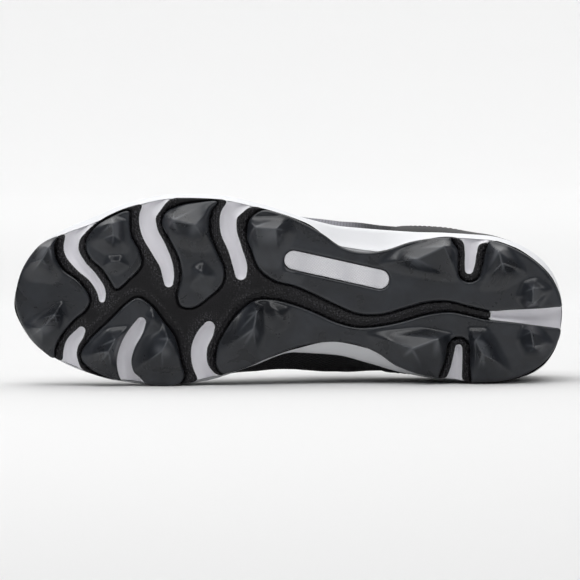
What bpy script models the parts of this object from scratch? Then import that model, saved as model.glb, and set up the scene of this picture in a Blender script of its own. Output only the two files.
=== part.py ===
"""Baseball cleat, left shoe, lying on its medial side with the sole towards the viewer.

The shoe is built upright in its own frame: x runs from the back of the heel to the toe, y to
the lateral side and z up from the ground under the studs. At the end every piece is turned
into the resting pose: sole towards -Y, toe towards -X, lateral side up.
"""
import math
from collections import namedtuple

import bmesh
import bpy
import numpy as np
from mathutils import Matrix, Vector

for old in list(bpy.data.objects):
    bpy.data.objects.remove(old)

MM = 0.001

# Driving sizes
LENGTH = 300 * MM           # heel to toe, over the midsole
BALL_WIDTH = 104 * MM       # widest place, over the midsole
INSTEP = 80 * MM            # top of the throat above the footbed
STUD = 11 * MM              # stud height below the pods
TOE_SPRING = 16 * MM
HEEL_STACK = 19 * MM        # midsole thickness at the heel
POD = 2.0 * MM              # thickness of the raised grey plates
WEB = 1.5 * MM              # thickness of the black web plate
WALL = 2.0 * MM             # upper
INSOLE = 3.5 * MM
TONGUE = 4.0 * MM
OVERLAY = 1.0 * MM
LACE_WIDE, LACE_THICK = 6.5 * MM, 1.3 * MM
GAP = 0.3 * MM              # between pieces that meet
LEDGE = 1.5 * MM            # midsole edge outside the upper
FLAT = 0.3 * MM             # depth of the flats worn where the shoe touches the floor

# Heights of the layers above the ground side of the pods
WEB_LOW = POD + GAP
FOAM_LOW = WEB_LOW + WEB + GAP

STATIONS = 36               # sections along the shoe, closer together at heel and toe
STRIP = LENGTH / 24         # spacing of the bends in the sole plates

# Outline of the plate and of the midsole: shares of the length, then of the ball width
Outline = namedtuple("Outline", "along plate_medial plate_lateral foam_medial foam_lateral")
OUTLINE = [
    Outline(0.000, -0.006, -0.006, 0.000, 0.000),
    Outline(0.010, -0.180, 0.123, -0.200, 0.150),
    Outline(0.030, -0.268, 0.214, -0.286, 0.244),
    Outline(0.060, -0.327, 0.285, -0.340, 0.315),
    Outline(0.100, -0.366, 0.345, -0.375, 0.365),
    Outline(0.150, -0.384, 0.374, -0.393, 0.388),
    Outline(0.220, -0.374, 0.370, -0.388, 0.385),
    Outline(0.290, -0.335, 0.320, -0.367, 0.375),
    Outline(0.345, -0.254, 0.266, -0.335, 0.373),
    Outline(0.410, -0.230, 0.276, -0.305, 0.374),
    Outline(0.480, -0.283, 0.382, -0.308, 0.402),
    Outline(0.560, -0.386, 0.435, -0.400, 0.450),
    Outline(0.640, -0.480, 0.463, -0.492, 0.475),
    Outline(0.720, -0.527, 0.452, -0.535, 0.468),
    Outline(0.800, -0.520, 0.388, -0.528, 0.407),
    Outline(0.870, -0.482, 0.290, -0.489, 0.316),
    Outline(0.920, -0.430, 0.222, -0.437, 0.240),
    Outline(0.960, -0.358, 0.138, -0.368, 0.152),
    Outline(0.985, -0.272, 0.032, -0.282, 0.046),
    Outline(1.000, -0.157, -0.157, -0.158, -0.158),
]

# Side profile of the sole: lift in shares of the toe spring, stack in shares of the heel stack
Profile = namedtuple("Profile", "along lift stack")
PROFILE = [
    Profile(0.00, 0.16, 1.00),
    Profile(0.06, 0.06, 1.00),
    Profile(0.14, 0.00, 1.00),
    Profile(0.24, 0.04, 0.96),
    Profile(0.34, 0.20, 0.86),
    Profile(0.44, 0.30, 0.72),
    Profile(0.54, 0.20, 0.60),
    Profile(0.64, 0.05, 0.52),
    Profile(0.72, 0.00, 0.48),
    Profile(0.80, 0.08, 0.46),
    Profile(0.88, 0.32, 0.45),
    Profile(0.95, 0.68, 0.44),
    Profile(1.00, 1.00, 0.42),
]

# Sections of the last: top in shares of the instep height, edge where the opening begins as a
# share of that top (1 is closed), square the roundness power of the arch, ridge the shift of
# the top towards the medial side and the two bellies as shares of the ball width
Section = namedtuple("Section", "along top edge square ridge belly_medial belly_lateral")
SECTIONS = [
    Section(0.00, 1.02, 0.835, 3.0, 0.000, 0.012, 0.012),
    Section(0.05, 1.02, 0.82, 3.0, 0.000, 0.008, 0.010),
    Section(0.10, 1.00, 0.765, 3.0, 0.000, 0.004, 0.006),
    Section(0.16, 0.98, 0.71, 3.0, 0.000, 0.002, 0.004),
    Section(0.22, 0.97, 0.70, 3.0, 0.000, 0.002, 0.008),
    Section(0.28, 0.97, 0.750, 3.0, 0.010, 0.010, 0.020),
    Section(0.34, 0.985, 0.870, 2.9, 0.018, 0.045, 0.030),
    Section(0.385, 1.00, 0.950, 2.8, 0.022, 0.070, 0.030),
    Section(0.43, 0.955, 0.966, 2.6, 0.024, 0.085, 0.026),
    Section(0.49, 0.855, 0.966, 2.5, 0.026, 0.080, 0.014),
    Section(0.55, 0.755, 0.967, 2.4, 0.028, 0.045, 0.002),
    Section(0.61, 0.660, 0.972, 2.4, 0.030, 0.012, 0.000),
    Section(0.655, 0.595, 0.984, 2.4, 0.032, 0.000, 0.000),
    Section(0.68, 0.560, 1.000, 2.4, 0.032, 0.000, 0.000),
    Section(0.74, 0.495, 1.000, 2.4, 0.030, 0.000, 0.000),
    Section(0.81, 0.430, 1.000, 2.4, 0.024, 0.000, 0.000),
    Section(0.88, 0.375, 1.000, 2.4, 0.016, 0.000, 0.000),
    Section(0.94, 0.320, 1.000, 2.5, 0.008, 0.000, 0.000),
    Section(0.98, 0.250, 1.000, 2.6, 0.000, 0.000, 0.000),
    Section(1.00, 0.160, 1.000, 2.8, 0.000, 0.000, 0.000),
]
HEEL_LEAN = 0.07            # of the ball width, how far the collar leans over the heel
THROAT_END = 0.672          # where the throat closes
COLLAR_FRONT = 0.385        # top eyelet

# Corners of the raised pods of the sole, in shares of length and ball width
Corner = namedtuple("Corner", "along across")


def corners(*pairs):
    return [Corner(*pair) for pair in pairs]


PODS = {
    "toe_pod": corners(
        (0.928, 0.206), (0.944, 0.188), (0.964, 0.143), (0.986, 0.043), (0.996, -0.051),
        (0.998, -0.160), (0.987, -0.250), (0.966, -0.342), (0.943, -0.398), (0.919, -0.434),
        (0.918, -0.382), (0.907, -0.304), (0.887, -0.222), (0.867, -0.164), (0.862, -0.105),
        (0.885, -0.020), (0.915, 0.033), (0.931, 0.099), (0.934, 0.167)),
    "lateral_toe_side_pod": corners(
        (0.803, 0.370), (0.839, 0.323), (0.865, 0.260), (0.877, 0.176), (0.867, 0.110),
        (0.843, 0.054), (0.827, -0.003), (0.815, -0.043), (0.793, 0.014), (0.773, 0.093),
        (0.778, 0.161), (0.795, 0.237), (0.801, 0.315)),
    "lateral_ball_pod": corners(
        (0.644, 0.456), (0.676, 0.447), (0.712, 0.420), (0.735, 0.380), (0.741, 0.321),
        (0.726, 0.245), (0.707, 0.156), (0.698, 0.071), (0.702, -0.057), (0.694, -0.105),
        (0.672, -0.106), (0.645, -0.044), (0.624, 0.026), (0.623, 0.110), (0.640, 0.203),
        (0.655, 0.305), (0.654, 0.406)),
    "medial_ball_pod": corners(
        (0.869, -0.392), (0.857, -0.328), (0.824, -0.219), (0.789, -0.104), (0.774, -0.079),
        (0.752, -0.109), (0.726, -0.189), (0.701, -0.275), (0.687, -0.399), (0.679, -0.476),
        (0.690, -0.518), (0.741, -0.529), (0.775, -0.526), (0.815, -0.509), (0.851, -0.473),
        (0.868, -0.425)),
}

# The two long shank and heel pods by their edges: inner towards the middle of the sole
Band = namedtuple("Band", "along inner outer")
BANDS = {
    "medial_shank_pod": [
        Band(0.003, -0.068, -0.110), Band(0.015, -0.062, -0.195), Band(0.030, -0.060, -0.254),
        Band(0.060, -0.055, -0.317), Band(0.100, -0.049, -0.362), Band(0.140, -0.047, -0.379),
        Band(0.175, -0.032, -0.381), Band(0.210, -0.025, -0.376), Band(0.250, -0.050, -0.364),
        Band(0.290, -0.094, -0.333), Band(0.330, -0.128, -0.272), Band(0.370, -0.145, -0.233),
        Band(0.410, -0.128, -0.230), Band(0.450, -0.087, -0.248), Band(0.490, -0.053, -0.285),
        Band(0.530, -0.034, -0.343), Band(0.560, -0.045, -0.391), Band(0.590, -0.120, -0.428),
        Band(0.610, -0.215, -0.440), Band(0.622, -0.300, -0.405)],
    "lateral_shank_pod": [
        Band(0.004, 0.052, 0.068), Band(0.015, 0.046, 0.140), Band(0.030, 0.038, 0.205),
        Band(0.060, 0.026, 0.280), Band(0.100, 0.012, 0.338), Band(0.130, 0.000, 0.362),
        Band(0.170, 0.015, 0.370), Band(0.210, 0.034, 0.368), Band(0.250, 0.020, 0.355),
        Band(0.290, -0.022, 0.325), Band(0.330, -0.063, 0.276), Band(0.370, -0.071, 0.252),
        Band(0.410, -0.038, 0.269), Band(0.450, 0.007, 0.334), Band(0.490, 0.047, 0.385),
        Band(0.530, 0.069, 0.422), Band(0.560, 0.130, 0.430), Band(0.575, 0.219, 0.405),
        Band(0.584, 0.275, 0.365)],
}

# Channels and notches through the plates: centre line and half width (of the ball width),
# beginning past the outer edge and ending at the round tip
Reach = namedtuple("Reach", "along across half")


def reaches(*rows):
    return [Reach(*row) for row in rows]


CHANNELS = {
    "lateral_1": reaches(
        (0.862, 0.360, 0.036), (0.887, 0.270, 0.036), (0.901, 0.209, 0.038), (0.903, 0.145, 0.039),
        (0.885, 0.069, 0.031), (0.858, 0.003, 0.024), (0.841, -0.070, 0.022), (0.839, -0.118, 0.008)),
    "lateral_2": reaches(
        (0.740, 0.500, 0.046), (0.757, 0.420, 0.044), (0.768, 0.359, 0.044), (0.763, 0.275, 0.044),
        (0.744, 0.187, 0.042), (0.727, 0.100, 0.034), (0.721, 0.022, 0.026), (0.720, -0.012, 0.010)),
    "lateral_3": reaches(
        (0.585, 0.510, 0.048), (0.605, 0.452, 0.046), (0.620, 0.399, 0.045), (0.620, 0.319, 0.043),
        (0.605, 0.215, 0.036), (0.592, 0.111, 0.035), (0.590, 0.055, 0.014)),
    "medial_1": reaches(
        (0.874, -0.560, 0.040), (0.885, -0.465, 0.039), (0.890, -0.413, 0.036),
        (0.887, -0.347, 0.034), (0.876, -0.296, 0.027), (0.870, -0.258, 0.011)),
    "medial_2": reaches(
        (0.748, -0.600, 0.044), (0.766, -0.535, 0.042), (0.781, -0.498, 0.040),
        (0.790, -0.423, 0.038), (0.786, -0.339, 0.037), (0.770, -0.240, 0.033),
        (0.762, -0.182, 0.014)),
    "medial_3": reaches(
        (0.610, -0.560, 0.050), (0.632, -0.485, 0.044), (0.650, -0.416, 0.040),
        (0.655, -0.305, 0.041), (0.643, -0.218, 0.036), (0.638, -0.176, 0.014)),
    "heel_lateral": reaches(
        (0.173, 0.460, 0.150), (0.175, 0.392, 0.105), (0.177, 0.350, 0.045), (0.177, 0.300, 0.027),
        (0.177, 0.240, 0.021), (0.178, 0.196, 0.008)),
    "heel_medial": reaches(
        (0.190, -0.460, 0.060), (0.189, -0.395, 0.042), (0.186, -0.310, 0.026),
        (0.185, -0.225, 0.018), (0.185, -0.195, 0.007)),
    "heel_wedge": reaches(
        (-0.040, -0.010, 0.080), (0.004, -0.010, 0.062), (0.039, -0.012, 0.047),
        (0.077, -0.017, 0.036), (0.110, -0.023, 0.022), (0.131, -0.026, 0.008)),
}
NOTCHES = {
    "lateral": reaches(
        (0.174, 0.480, 0.160), (0.178, 0.375, 0.112), (0.176, 0.324, 0.080), (0.176, 0.238, 0.063),
        (0.177, 0.166, 0.034), (0.178, 0.146, 0.012)),
    "medial": reaches(
        (0.188, -0.480, 0.096), (0.187, -0.379, 0.088), (0.185, -0.284, 0.066),
        (0.185, -0.200, 0.050), (0.185, -0.158, 0.018)),
}
NOTCH_OF = {"medial_shank_pod": "medial", "lateral_shank_pod": "lateral"}

# Studs: crest line, centre and half sizes of the foot (along and across the crest, of the ball
# width), height as a share of the stud height
Stud = namedtuple("Stud", "pod along_1 across_1 along_2 across_2 foot_along foot_across long wide tall")
STUDS = [
    Stud("toe_pod", 0.954, 0.075, 0.941, 0.150, 0.951, 0.075, 0.100, 0.085, 1.00),
    Stud("toe_pod", 0.945, -0.278, 0.924, -0.204, 0.942, -0.262, 0.095, 0.085, 1.00),
    Stud("lateral_toe_side_pod", 0.855, 0.225, 0.830, 0.300, 0.834, 0.226, 0.095, 0.085, 1.00),
    Stud("lateral_toe_side_pod", 0.824, 0.130, 0.812, 0.095, 0.818, 0.108, 0.040, 0.034, 0.40),
    Stud("lateral_ball_pod", 0.721, 0.352, 0.681, 0.332, 0.694, 0.330, 0.110, 0.095, 1.00),
    Stud("lateral_ball_pod", 0.668, 0.090, 0.652, 0.066, 0.661, 0.068, 0.048, 0.038, 0.40),
    Stud("medial_ball_pod", 0.810, -0.299, 0.819, -0.370, 0.829, -0.365, 0.095, 0.085, 1.00),
    Stud("medial_ball_pod", 0.713, -0.277, 0.724, -0.348, 0.727, -0.385, 0.110, 0.100, 1.00),
    Stud("medial_ball_pod", 0.746, -0.160, 0.742, -0.200, 0.744, -0.182, 0.042, 0.036, 0.40),
    Stud("medial_shank_pod", 0.556, -0.108, 0.561, -0.183, 0.573, -0.225, 0.130, 0.110, 1.00),
    Stud("medial_shank_pod", 0.530, -0.066, 0.500, -0.094, 0.514, -0.088, 0.050, 0.036, 0.40),
    Stud("medial_shank_pod", 0.284, -0.241, 0.222, -0.170, 0.266, -0.235, 0.135, 0.080, 1.05),
    Stud("medial_shank_pod", 0.157, -0.150, 0.137, -0.235, 0.130, -0.216, 0.110, 0.080, 1.05),
    Stud("medial_shank_pod", 0.059, -0.100, 0.056, -0.188, 0.054, -0.160, 0.085, 0.075, 1.05),
    Stud("lateral_shank_pod", 0.572, 0.339, 0.534, 0.342, 0.545, 0.310, 0.090, 0.085, 1.00),
    Stud("lateral_shank_pod", 0.506, 0.176, 0.492, 0.150, 0.499, 0.155, 0.045, 0.036, 0.40),
    Stud("lateral_shank_pod", 0.282, 0.222, 0.226, 0.290, 0.268, 0.222, 0.130, 0.080, 1.05),
    Stud("lateral_shank_pod", 0.127, 0.262, 0.084, 0.220, 0.116, 0.225, 0.100, 0.080, 1.05),
    Stud("lateral_shank_pod", 0.064, 0.155, 0.061, 0.060, 0.061, 0.120, 0.075, 0.070, 1.05),
]
CREST_WIDE = 1.6 * MM       # flat width of a stud's crest

# Oblong inlay let into the lateral shank pod
INLAY_FROM, INLAY_TO = Corner(0.497, 0.182), Corner(0.338, 0.118)
INLAY_HALF, INLAY_DEEP, INLAY_LAYER = 5.2 * MM, 1.0 * MM, 0.6 * MM


def material(name, hex_colour, roughness, coat=0.0):
    made = bpy.data.materials.new(name)
    made.use_nodes = True
    shader = made.node_tree.nodes["Principled BSDF"]
    channels = [int(hex_colour[i:i + 2], 16) / 255 for i in (0, 2, 4)]
    linear = [c / 12.92 if c <= 0.04045 else ((c + 0.055) / 1.055) ** 2.4 for c in channels]
    shader.inputs["Base Color"].default_value = (*linear, 1)
    shader.inputs["Roughness"].default_value = roughness
    shader.inputs["Coat Weight"].default_value = coat
    return made


POD_GREY = material("moulded dark grey plastic", "36383c", 0.38, 0.1)
WEB_BLACK = material("textured black plastic", "1c1b1f", 0.55)
FOAM_WHITE = material("white moulded foam", "e9ebee", 0.6)
UPPER_BLACK = material("black knit upper", "1a1a1d", 0.8)
OVERLAY_BLACK = material("smooth black overlay", "26262a", 0.45)
LINING_GREY = material("grey lining", "3a3a3e", 0.85)
LACE_BLACK = material("black woven lace", "202024", 0.8)
INLAY_LIGHT = material("light grey textured plastic", "b9bac2", 0.5)

parts = bpy.data.collections.new("baseball cleat")
cutters = bpy.data.collections.new("cutters")
bpy.context.scene.collection.children.link(parts)
bpy.context.scene.collection.children.link(cutters)


# Tables read as smooth curves
def smooth(xs, ys, x):
    """Value at x of a smooth curve through the points that never swings past them."""
    xs, ys = np.asarray(xs, float), np.asarray(ys, float)
    x = min(max(x, xs[0]), xs[-1])
    i = min(int(np.searchsorted(xs, x, side="right")) - 1, len(xs) - 2)
    steps, rises = np.diff(xs), np.diff(ys)
    slopes = rises / steps

    def tangent(k):
        if k == 0 or k == len(xs) - 1:
            return slopes[0] if k == 0 else slopes[-1]
        a, b = slopes[k - 1], slopes[k]
        if a * b <= 0:
            return 0.0
        wa, wb = 2 * steps[k] + steps[k - 1], steps[k] + 2 * steps[k - 1]
        return (wa + wb) / (wa / a + wb / b)

    h = steps[i]
    t = (x - xs[i]) / h
    m0, m1 = tangent(i), tangent(i + 1)
    return float((2 * t ** 3 - 3 * t ** 2 + 1) * ys[i] + (t ** 3 - 2 * t ** 2 + t) * h * m0
                 + (3 * t ** 2 - 2 * t ** 3) * ys[i + 1] + (t ** 3 - t ** 2) * h * m1)


def angle_of(share):
    return math.acos(min(1.0, max(-1.0, 1 - 2 * share)))


def share_of(angle):
    return (1 - math.cos(angle)) / 2


def round_ended(table, column, angle):
    """A column of a table at a station angle, so that the ends of the outline come out round."""
    return smooth([angle_of(row.along) for row in table], [getattr(row, column) for row in table],
                  angle)


def plate_height(x):
    """Ground side of the pods above the ground."""
    return STUD + TOE_SPRING * smooth([row.along for row in PROFILE],
                                      [row.lift for row in PROFILE], x / LENGTH)


def footbed_height(x):
    return plate_height(x) + FOAM_LOW + HEEL_STACK * smooth(
        [row.along for row in PROFILE], [row.stack for row in PROFILE], x / LENGTH)


def edge_point(layer, turn):
    """Point of an outline. The turn runs 0 at the heel, through the medial side, pi at the toe;
    the lateral side has the same turns with a minus sign."""
    side = "medial" if turn >= 0 else "lateral"
    angle = abs(turn)
    return np.array([LENGTH * share_of(angle),
                     BALL_WIDTH * round_ended(OUTLINE, f"{layer}_{side}", angle)])


def wrapped(turn):
    return (turn + math.pi) % (2 * math.pi) - math.pi


def edge_normal(layer, turn, step=0.03):
    """Outward direction of an outline in plan."""
    ahead, behind = edge_point(layer, wrapped(turn + step)), edge_point(layer, wrapped(turn - step))
    tangent = ahead - behind
    outward = np.array([tangent[1], -tangent[0]])
    return outward / np.linalg.norm(outward)


def ring_point(layer, turn, inset):
    return edge_point(layer, turn) - inset * edge_normal(layer, turn)


TURNS = [math.pi * k / STATIONS for k in range(STATIONS + 1)]


def loop_turns():
    """Turns once round the outline: medial side to the toe, lateral side back to the heel."""
    return TURNS + [-turn for turn in reversed(TURNS[1:-1])]


# The last: one surface that the upper, its overlays, the tongue and the laces share
def last_section(angle):
    values = {name: round_ended(SECTIONS, name, angle) for name in Section._fields[1:]}
    return namedtuple("Values", values)(**values)


def last_surface(turn, rise):
    """Point of the last. The rise runs 0 at the footbed to pi/2 at the ridge, and past it
    comes down the other side."""
    if rise > math.pi / 2:
        turn, rise = -turn, math.pi - rise
    turn = wrapped(turn)
    angle = abs(turn)
    side = 1 if turn >= 0 else -1
    here = last_section(angle)
    own = ring_point("foam", turn if angle > 0 else 1e-6, LEDGE)
    other = ring_point("foam", -turn if angle > 0 else -1e-6, LEDGE)
    centre, half = (own + other) / 2, (own - other) / 2
    reach = (abs(math.cos(rise)) ** here.square + abs(math.sin(rise)) ** here.square) ** (
        1 / here.square)
    out, up = math.cos(rise) / reach, math.sin(rise) / reach
    belly = here.belly_medial if side > 0 else here.belly_lateral
    plan = centre + half * out + edge_normal("foam", turn) * (
        BALL_WIDTH * belly * math.sin(math.pi * up ** 0.8) * out)
    share = share_of(angle)
    lean = BALL_WIDTH * HEEL_LEAN * (1 - share) ** 8
    x = plan[0] + lean * up ** 2
    y = plan[1] - BALL_WIDTH * here.ridge * up ** 2
    base = footbed_height(LENGTH * share) + GAP
    return np.array([x, y, base + INSTEP * here.top * up])


def last_point(turn, rise, out=0.0):
    """Point at a distance outside the last's surface."""
    step = 0.02
    point = last_surface(turn, rise)
    if out == 0.0:
        return point
    low = max(rise - step, 0.0)
    along = last_surface(wrapped(turn + step), rise) - last_surface(wrapped(turn - step), rise)
    if np.linalg.norm(along) < 1e-6:
        outward = edge_normal("foam", turn)
        along = np.array([-outward[1], outward[0], 0.0])
    up = last_surface(turn, rise + step) - last_surface(turn, low)
    if np.linalg.norm(up) < 1e-6:
        up = point - last_surface(turn, low)
    normal = np.cross(along, up)
    normal /= np.linalg.norm(normal)
    return point + out * normal


def edge_rise(angle):
    """Rise at which the collar or throat opening begins."""
    here = last_section(angle)
    edge = min(here.edge, 1.0)
    if edge > 0.9995:
        return math.pi / 2
    return math.atan2(edge, (1 - edge ** here.square) ** (1 / here.square))


# Making and cutting
def add(name, mesh, made_of=None, to=parts):
    thing = bpy.data.objects.new(name, mesh)
    to.objects.link(thing)
    if made_of:
        mesh.materials.append(made_of)
    if to is cutters:
        thing.hide_render = True
        thing.display_type = "WIRE"
    return thing


def mesh_of(name, bm):
    bmesh.ops.recalc_face_normals(bm, faces=bm.faces[:])
    if bm.calc_volume(signed=True) < 0:
        bmesh.ops.reverse_faces(bm, faces=bm.faces[:])
    mesh = bpy.data.meshes.new(name)
    bm.to_mesh(mesh)
    bm.free()
    return mesh


def apply(thing):
    """Bakes a piece's modifiers into its mesh."""
    seen = thing.evaluated_get(bpy.context.evaluated_depsgraph_get())
    mesh = bpy.data.meshes.new_from_object(seen)
    thing.modifiers.clear()
    thing.data = mesh


def tidied(thing):
    """Triangles only, with slivers closed up and folded-over pairs of triangles taken out."""
    bm = bmesh.new()
    bm.from_mesh(thing.data)
    bmesh.ops.triangulate(bm, faces=bm.faces[:])
    bmesh.ops.remove_doubles(bm, verts=bm.verts[:], dist=0.002 * MM)
    bmesh.ops.dissolve_degenerate(bm, edges=bm.edges[:], dist=0.002 * MM)
    bmesh.ops.triangulate(bm, faces=bm.faces[:])
    seen = {}
    for face in bm.faces:
        seen.setdefault(frozenset(v.index for v in face.verts), []).append(face)
    folded = [face for pair in seen.values() if len(pair) > 1 for face in pair]
    bmesh.ops.delete(bm, geom=folded, context="FACES")
    bmesh.ops.delete(bm, geom=[v for v in bm.verts if not v.link_faces], context="VERTS")
    bm.to_mesh(thing.data)
    bm.free()


def cut(thing, other, operation):
    step = thing.modifiers.new("cut", "BOOLEAN")
    step.operation = operation
    step.solver = "EXACT"
    step.object = other
    apply(thing)
    tidied(thing)


def spline(points, closed=True, samples=3):
    """Smooth curve through points, tighter where they are closer together."""
    points = [np.array(p, float) for p in points]
    count = len(points)
    spans = range(count) if closed else range(count - 1)
    line = []
    for i in spans:
        if closed:
            p0, p1, p2, p3 = (points[(i + k) % count] for k in (-1, 0, 1, 2))
        else:
            p1, p2 = points[i], points[i + 1]
            p0 = points[i - 1] if i else 2 * p1 - p2
            p3 = points[i + 2] if i + 2 < count else 2 * p2 - p1
        d = [max(np.linalg.norm(b[:2] - a[:2]), 1e-9) ** 0.5 for a, b in ((p0, p1), (p1, p2), (p2, p3))]
        m1 = (p1 - p0) / d[0] - (p2 - p0) / (d[0] + d[1]) + (p2 - p1) / d[1]
        m2 = (p2 - p1) / d[1] - (p3 - p1) / (d[1] + d[2]) + (p3 - p2) / d[2]
        m1, m2 = m1 * d[1], m2 * d[1]
        for k in range(samples):
            t = k / samples
            line.append((2 * t ** 3 - 3 * t ** 2 + 1) * p1 + (t ** 3 - 2 * t ** 2 + t) * m1
                        + (3 * t ** 2 - 2 * t ** 3) * p2 + (t ** 3 - t ** 2) * m2)
    if not closed:
        line.append(points[-1])
    return line


def prism(name, outline, low=-STUD, high=3 * STUD + TOE_SPRING + HEEL_STACK, to=cutters):
    """Upright prism over a closed outline in plan."""
    bm = bmesh.new()
    lower = [bm.verts.new((p[0], p[1], low)) for p in outline]
    upper = [bm.verts.new((p[0], p[1], high)) for p in outline]
    count = len(outline)
    for i in range(count):
        j = (i + 1) % count
        bm.faces.new((lower[i], lower[j], upper[j], upper[i]))
    bm.faces.new(lower)
    bm.faces.new(list(reversed(upper)))
    return add(name, mesh_of(name, bm), to=to)


def slab(name, low, high, made_of):
    """Bent blank of the sole plates, from one height above the pods' ground side to another."""
    bm = bmesh.new()
    count = int(round(LENGTH / STRIP)) + 2
    rows = []
    for i in range(count + 1):
        x = (i - 1) * STRIP
        z = plate_height(x)
        rows.append([bm.verts.new((x, side * BALL_WIDTH * 0.75, z + level))
                     for side, level in ((-1, low), (1, low), (1, high), (-1, high))])
    for a, b in zip(rows, rows[1:]):
        for i in range(4):
            j = (i + 1) % 4
            bm.faces.new((a[i], a[j], b[j], b[i]))
    bm.faces.new(rows[0])
    bm.faces.new(list(reversed(rows[-1])))
    return add(name, mesh_of(name, bm), made_of)


def ribbon_outline(rows, widen=0.0):
    """Outline of a channel from its centre line and half widths, with a rounded tip."""
    line = [np.array([row.along * LENGTH, row.across * BALL_WIDTH, row.half * BALL_WIDTH + widen])
            for row in rows]
    line = spline(line, closed=False, samples=2)
    left, right = [], []
    for i, p in enumerate(line):
        ahead, behind = line[min(i + 1, len(line) - 1)], line[max(i - 1, 0)]
        run = ahead[:2] - behind[:2]
        run /= np.linalg.norm(run)
        side = np.array([-run[1], run[0]])
        left.append(p[:2] + side * p[2])
        right.append(p[:2] - side * p[2])
    last_run = line[-1][:2] - line[-2][:2]
    last_run /= np.linalg.norm(last_run)
    tip = line[-1][:2] + last_run * line[-1][2]
    return left + [tip] + list(reversed(right))


def shares(rows):
    return [(row.along * LENGTH, row.across * BALL_WIDTH) for row in rows]


# Sole plates
def band_outline(rows):
    inner = [(row.along * LENGTH, row.inner * BALL_WIDTH) for row in rows]
    outer = [(row.along * LENGTH, row.outer * BALL_WIDTH) for row in rows]
    return spline(inner + list(reversed(outer)), samples=2)


def stud_solid(row):
    """Blade of a stud: a broad foot hulled up to a narrow crest."""
    start = Vector((row.along_1 * LENGTH, row.across_1 * BALL_WIDTH, 0))
    end = Vector((row.along_2 * LENGTH, row.across_2 * BALL_WIDTH, 0))
    foot = Vector((row.foot_along * LENGTH, row.foot_across * BALL_WIDTH, 0))
    run = (end - start).normalized()
    side = Vector((-run.y, run.x, 0))
    bm = bmesh.new()
    for k in range(10):
        a = 2 * math.pi * k / 10
        p = foot + run * (math.cos(a) * row.long * BALL_WIDTH) + side * (
            math.sin(a) * row.wide * BALL_WIDTH)
        z = plate_height(p.x) + POD / 2
        bm.verts.new((p.x, p.y, z))
    top = plate_height((start.x + end.x) / 2) - STUD * row.tall
    for p, widen in ((start, 0.8), (start.lerp(end, 0.5), 1.0), (end, 0.8)):
        for s in (-1, 1):
            q = p + side * (s * widen * CREST_WIDE / 2)
            bm.verts.new((q.x, q.y, top))
    for s in (-1, 1):
        for p in (start, end):
            q = (p.lerp(foot, 0.30)) + side * (s * row.wide * BALL_WIDTH * 0.42)
            bm.verts.new((q.x, q.y, top + STUD * row.tall * 0.5))
    bmesh.ops.convex_hull(bm, input=bm.verts[:])
    loose = [v for v in bm.verts if not v.link_faces]
    bmesh.ops.delete(bm, geom=loose, context="VERTS")
    return add("stud", mesh_of("stud", bm), to=cutters)


channel_cutters = {name: prism(f"channel {name}", ribbon_outline(rows))
                   for name, rows in CHANNELS.items()}
notch_cutters = {name: prism(f"notch {name}", ribbon_outline(rows))
                 for name, rows in NOTCHES.items()}

web = slab("web_plate", WEB_LOW, WEB_LOW + WEB, WEB_BLACK)
cut(web, prism("plate outline", [ring_point("plate", turn, 0.0) for turn in loop_turns()]),
    "INTERSECT")
for cutter in channel_cutters.values():
    cut(web, cutter, "DIFFERENCE")

pods = {}
for name, rows in {**PODS, **BANDS}.items():
    outline = spline(shares(rows), samples=2) if name in PODS else band_outline(rows)
    pod = slab(name, 0.0, POD, POD_GREY)
    cut(pod, prism(f"{name} outline", outline), "INTERSECT")
    if name in NOTCH_OF:
        cut(pod, notch_cutters[NOTCH_OF[name]], "DIFFERENCE")
    for stud in STUDS:
        if stud.pod == name:
            blade = stud_solid(stud)
            cut(pod, blade, "UNION")
            bpy.data.objects.remove(blade)
    pods[name] = pod
cut(pods["medial_ball_pod"], channel_cutters["medial_2"], "DIFFERENCE")


def capsule(half):
    a = np.array([INLAY_FROM.along * LENGTH, INLAY_FROM.across * BALL_WIDTH])
    b = np.array([INLAY_TO.along * LENGTH, INLAY_TO.across * BALL_WIDTH])
    run = (b - a) / np.linalg.norm(b - a)
    side = np.array([-run[1], run[0]])
    line = []
    for end, facing in ((b, 1), (a, -1)):
        for k in range(7):
            t = math.pi * (0.5 - k / 6)
            line.append(end + facing * (run * math.cos(t) + side * math.sin(t)) * half)
    return line


pocket = slab("pocket", -STUD, INLAY_DEEP, POD_GREY)
cut(pocket, prism("pocket outline", capsule(INLAY_HALF + GAP)), "INTERSECT")
cut(pods["lateral_shank_pod"], pocket, "DIFFERENCE")
bpy.data.objects.remove(pocket)
inlay = slab("shank_inlay", INLAY_DEEP - GAP - INLAY_LAYER, INLAY_DEEP - GAP, INLAY_LIGHT)
cut(inlay, prism("inlay outline", capsule(INLAY_HALF)), "INTERSECT")


# Lofts round the outline
def stacked(name, rings, made_of):
    """Solid from closed rings, with its two ends laddered from side to side."""
    bm = bmesh.new()
    rows = [[bm.verts.new(p) for p in ring] for ring in rings]
    count = len(rows[0])
    for a, b in zip(rows, rows[1:]):
        for i in range(count):
            j = (i + 1) % count
            bm.faces.new((a[i], a[j], b[j], b[i]))
    for ring in (rows[0], rows[-1]):
        toe = count // 2
        bm.faces.new((ring[0], ring[1], ring[-1]))
        for k in range(1, toe - 1):
            bm.faces.new((ring[k], ring[k + 1], ring[-k - 1], ring[-k]))
        bm.faces.new((ring[toe - 1], ring[toe], ring[toe + 1]))
    return add(name, mesh_of(name, bm), made_of)


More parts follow.
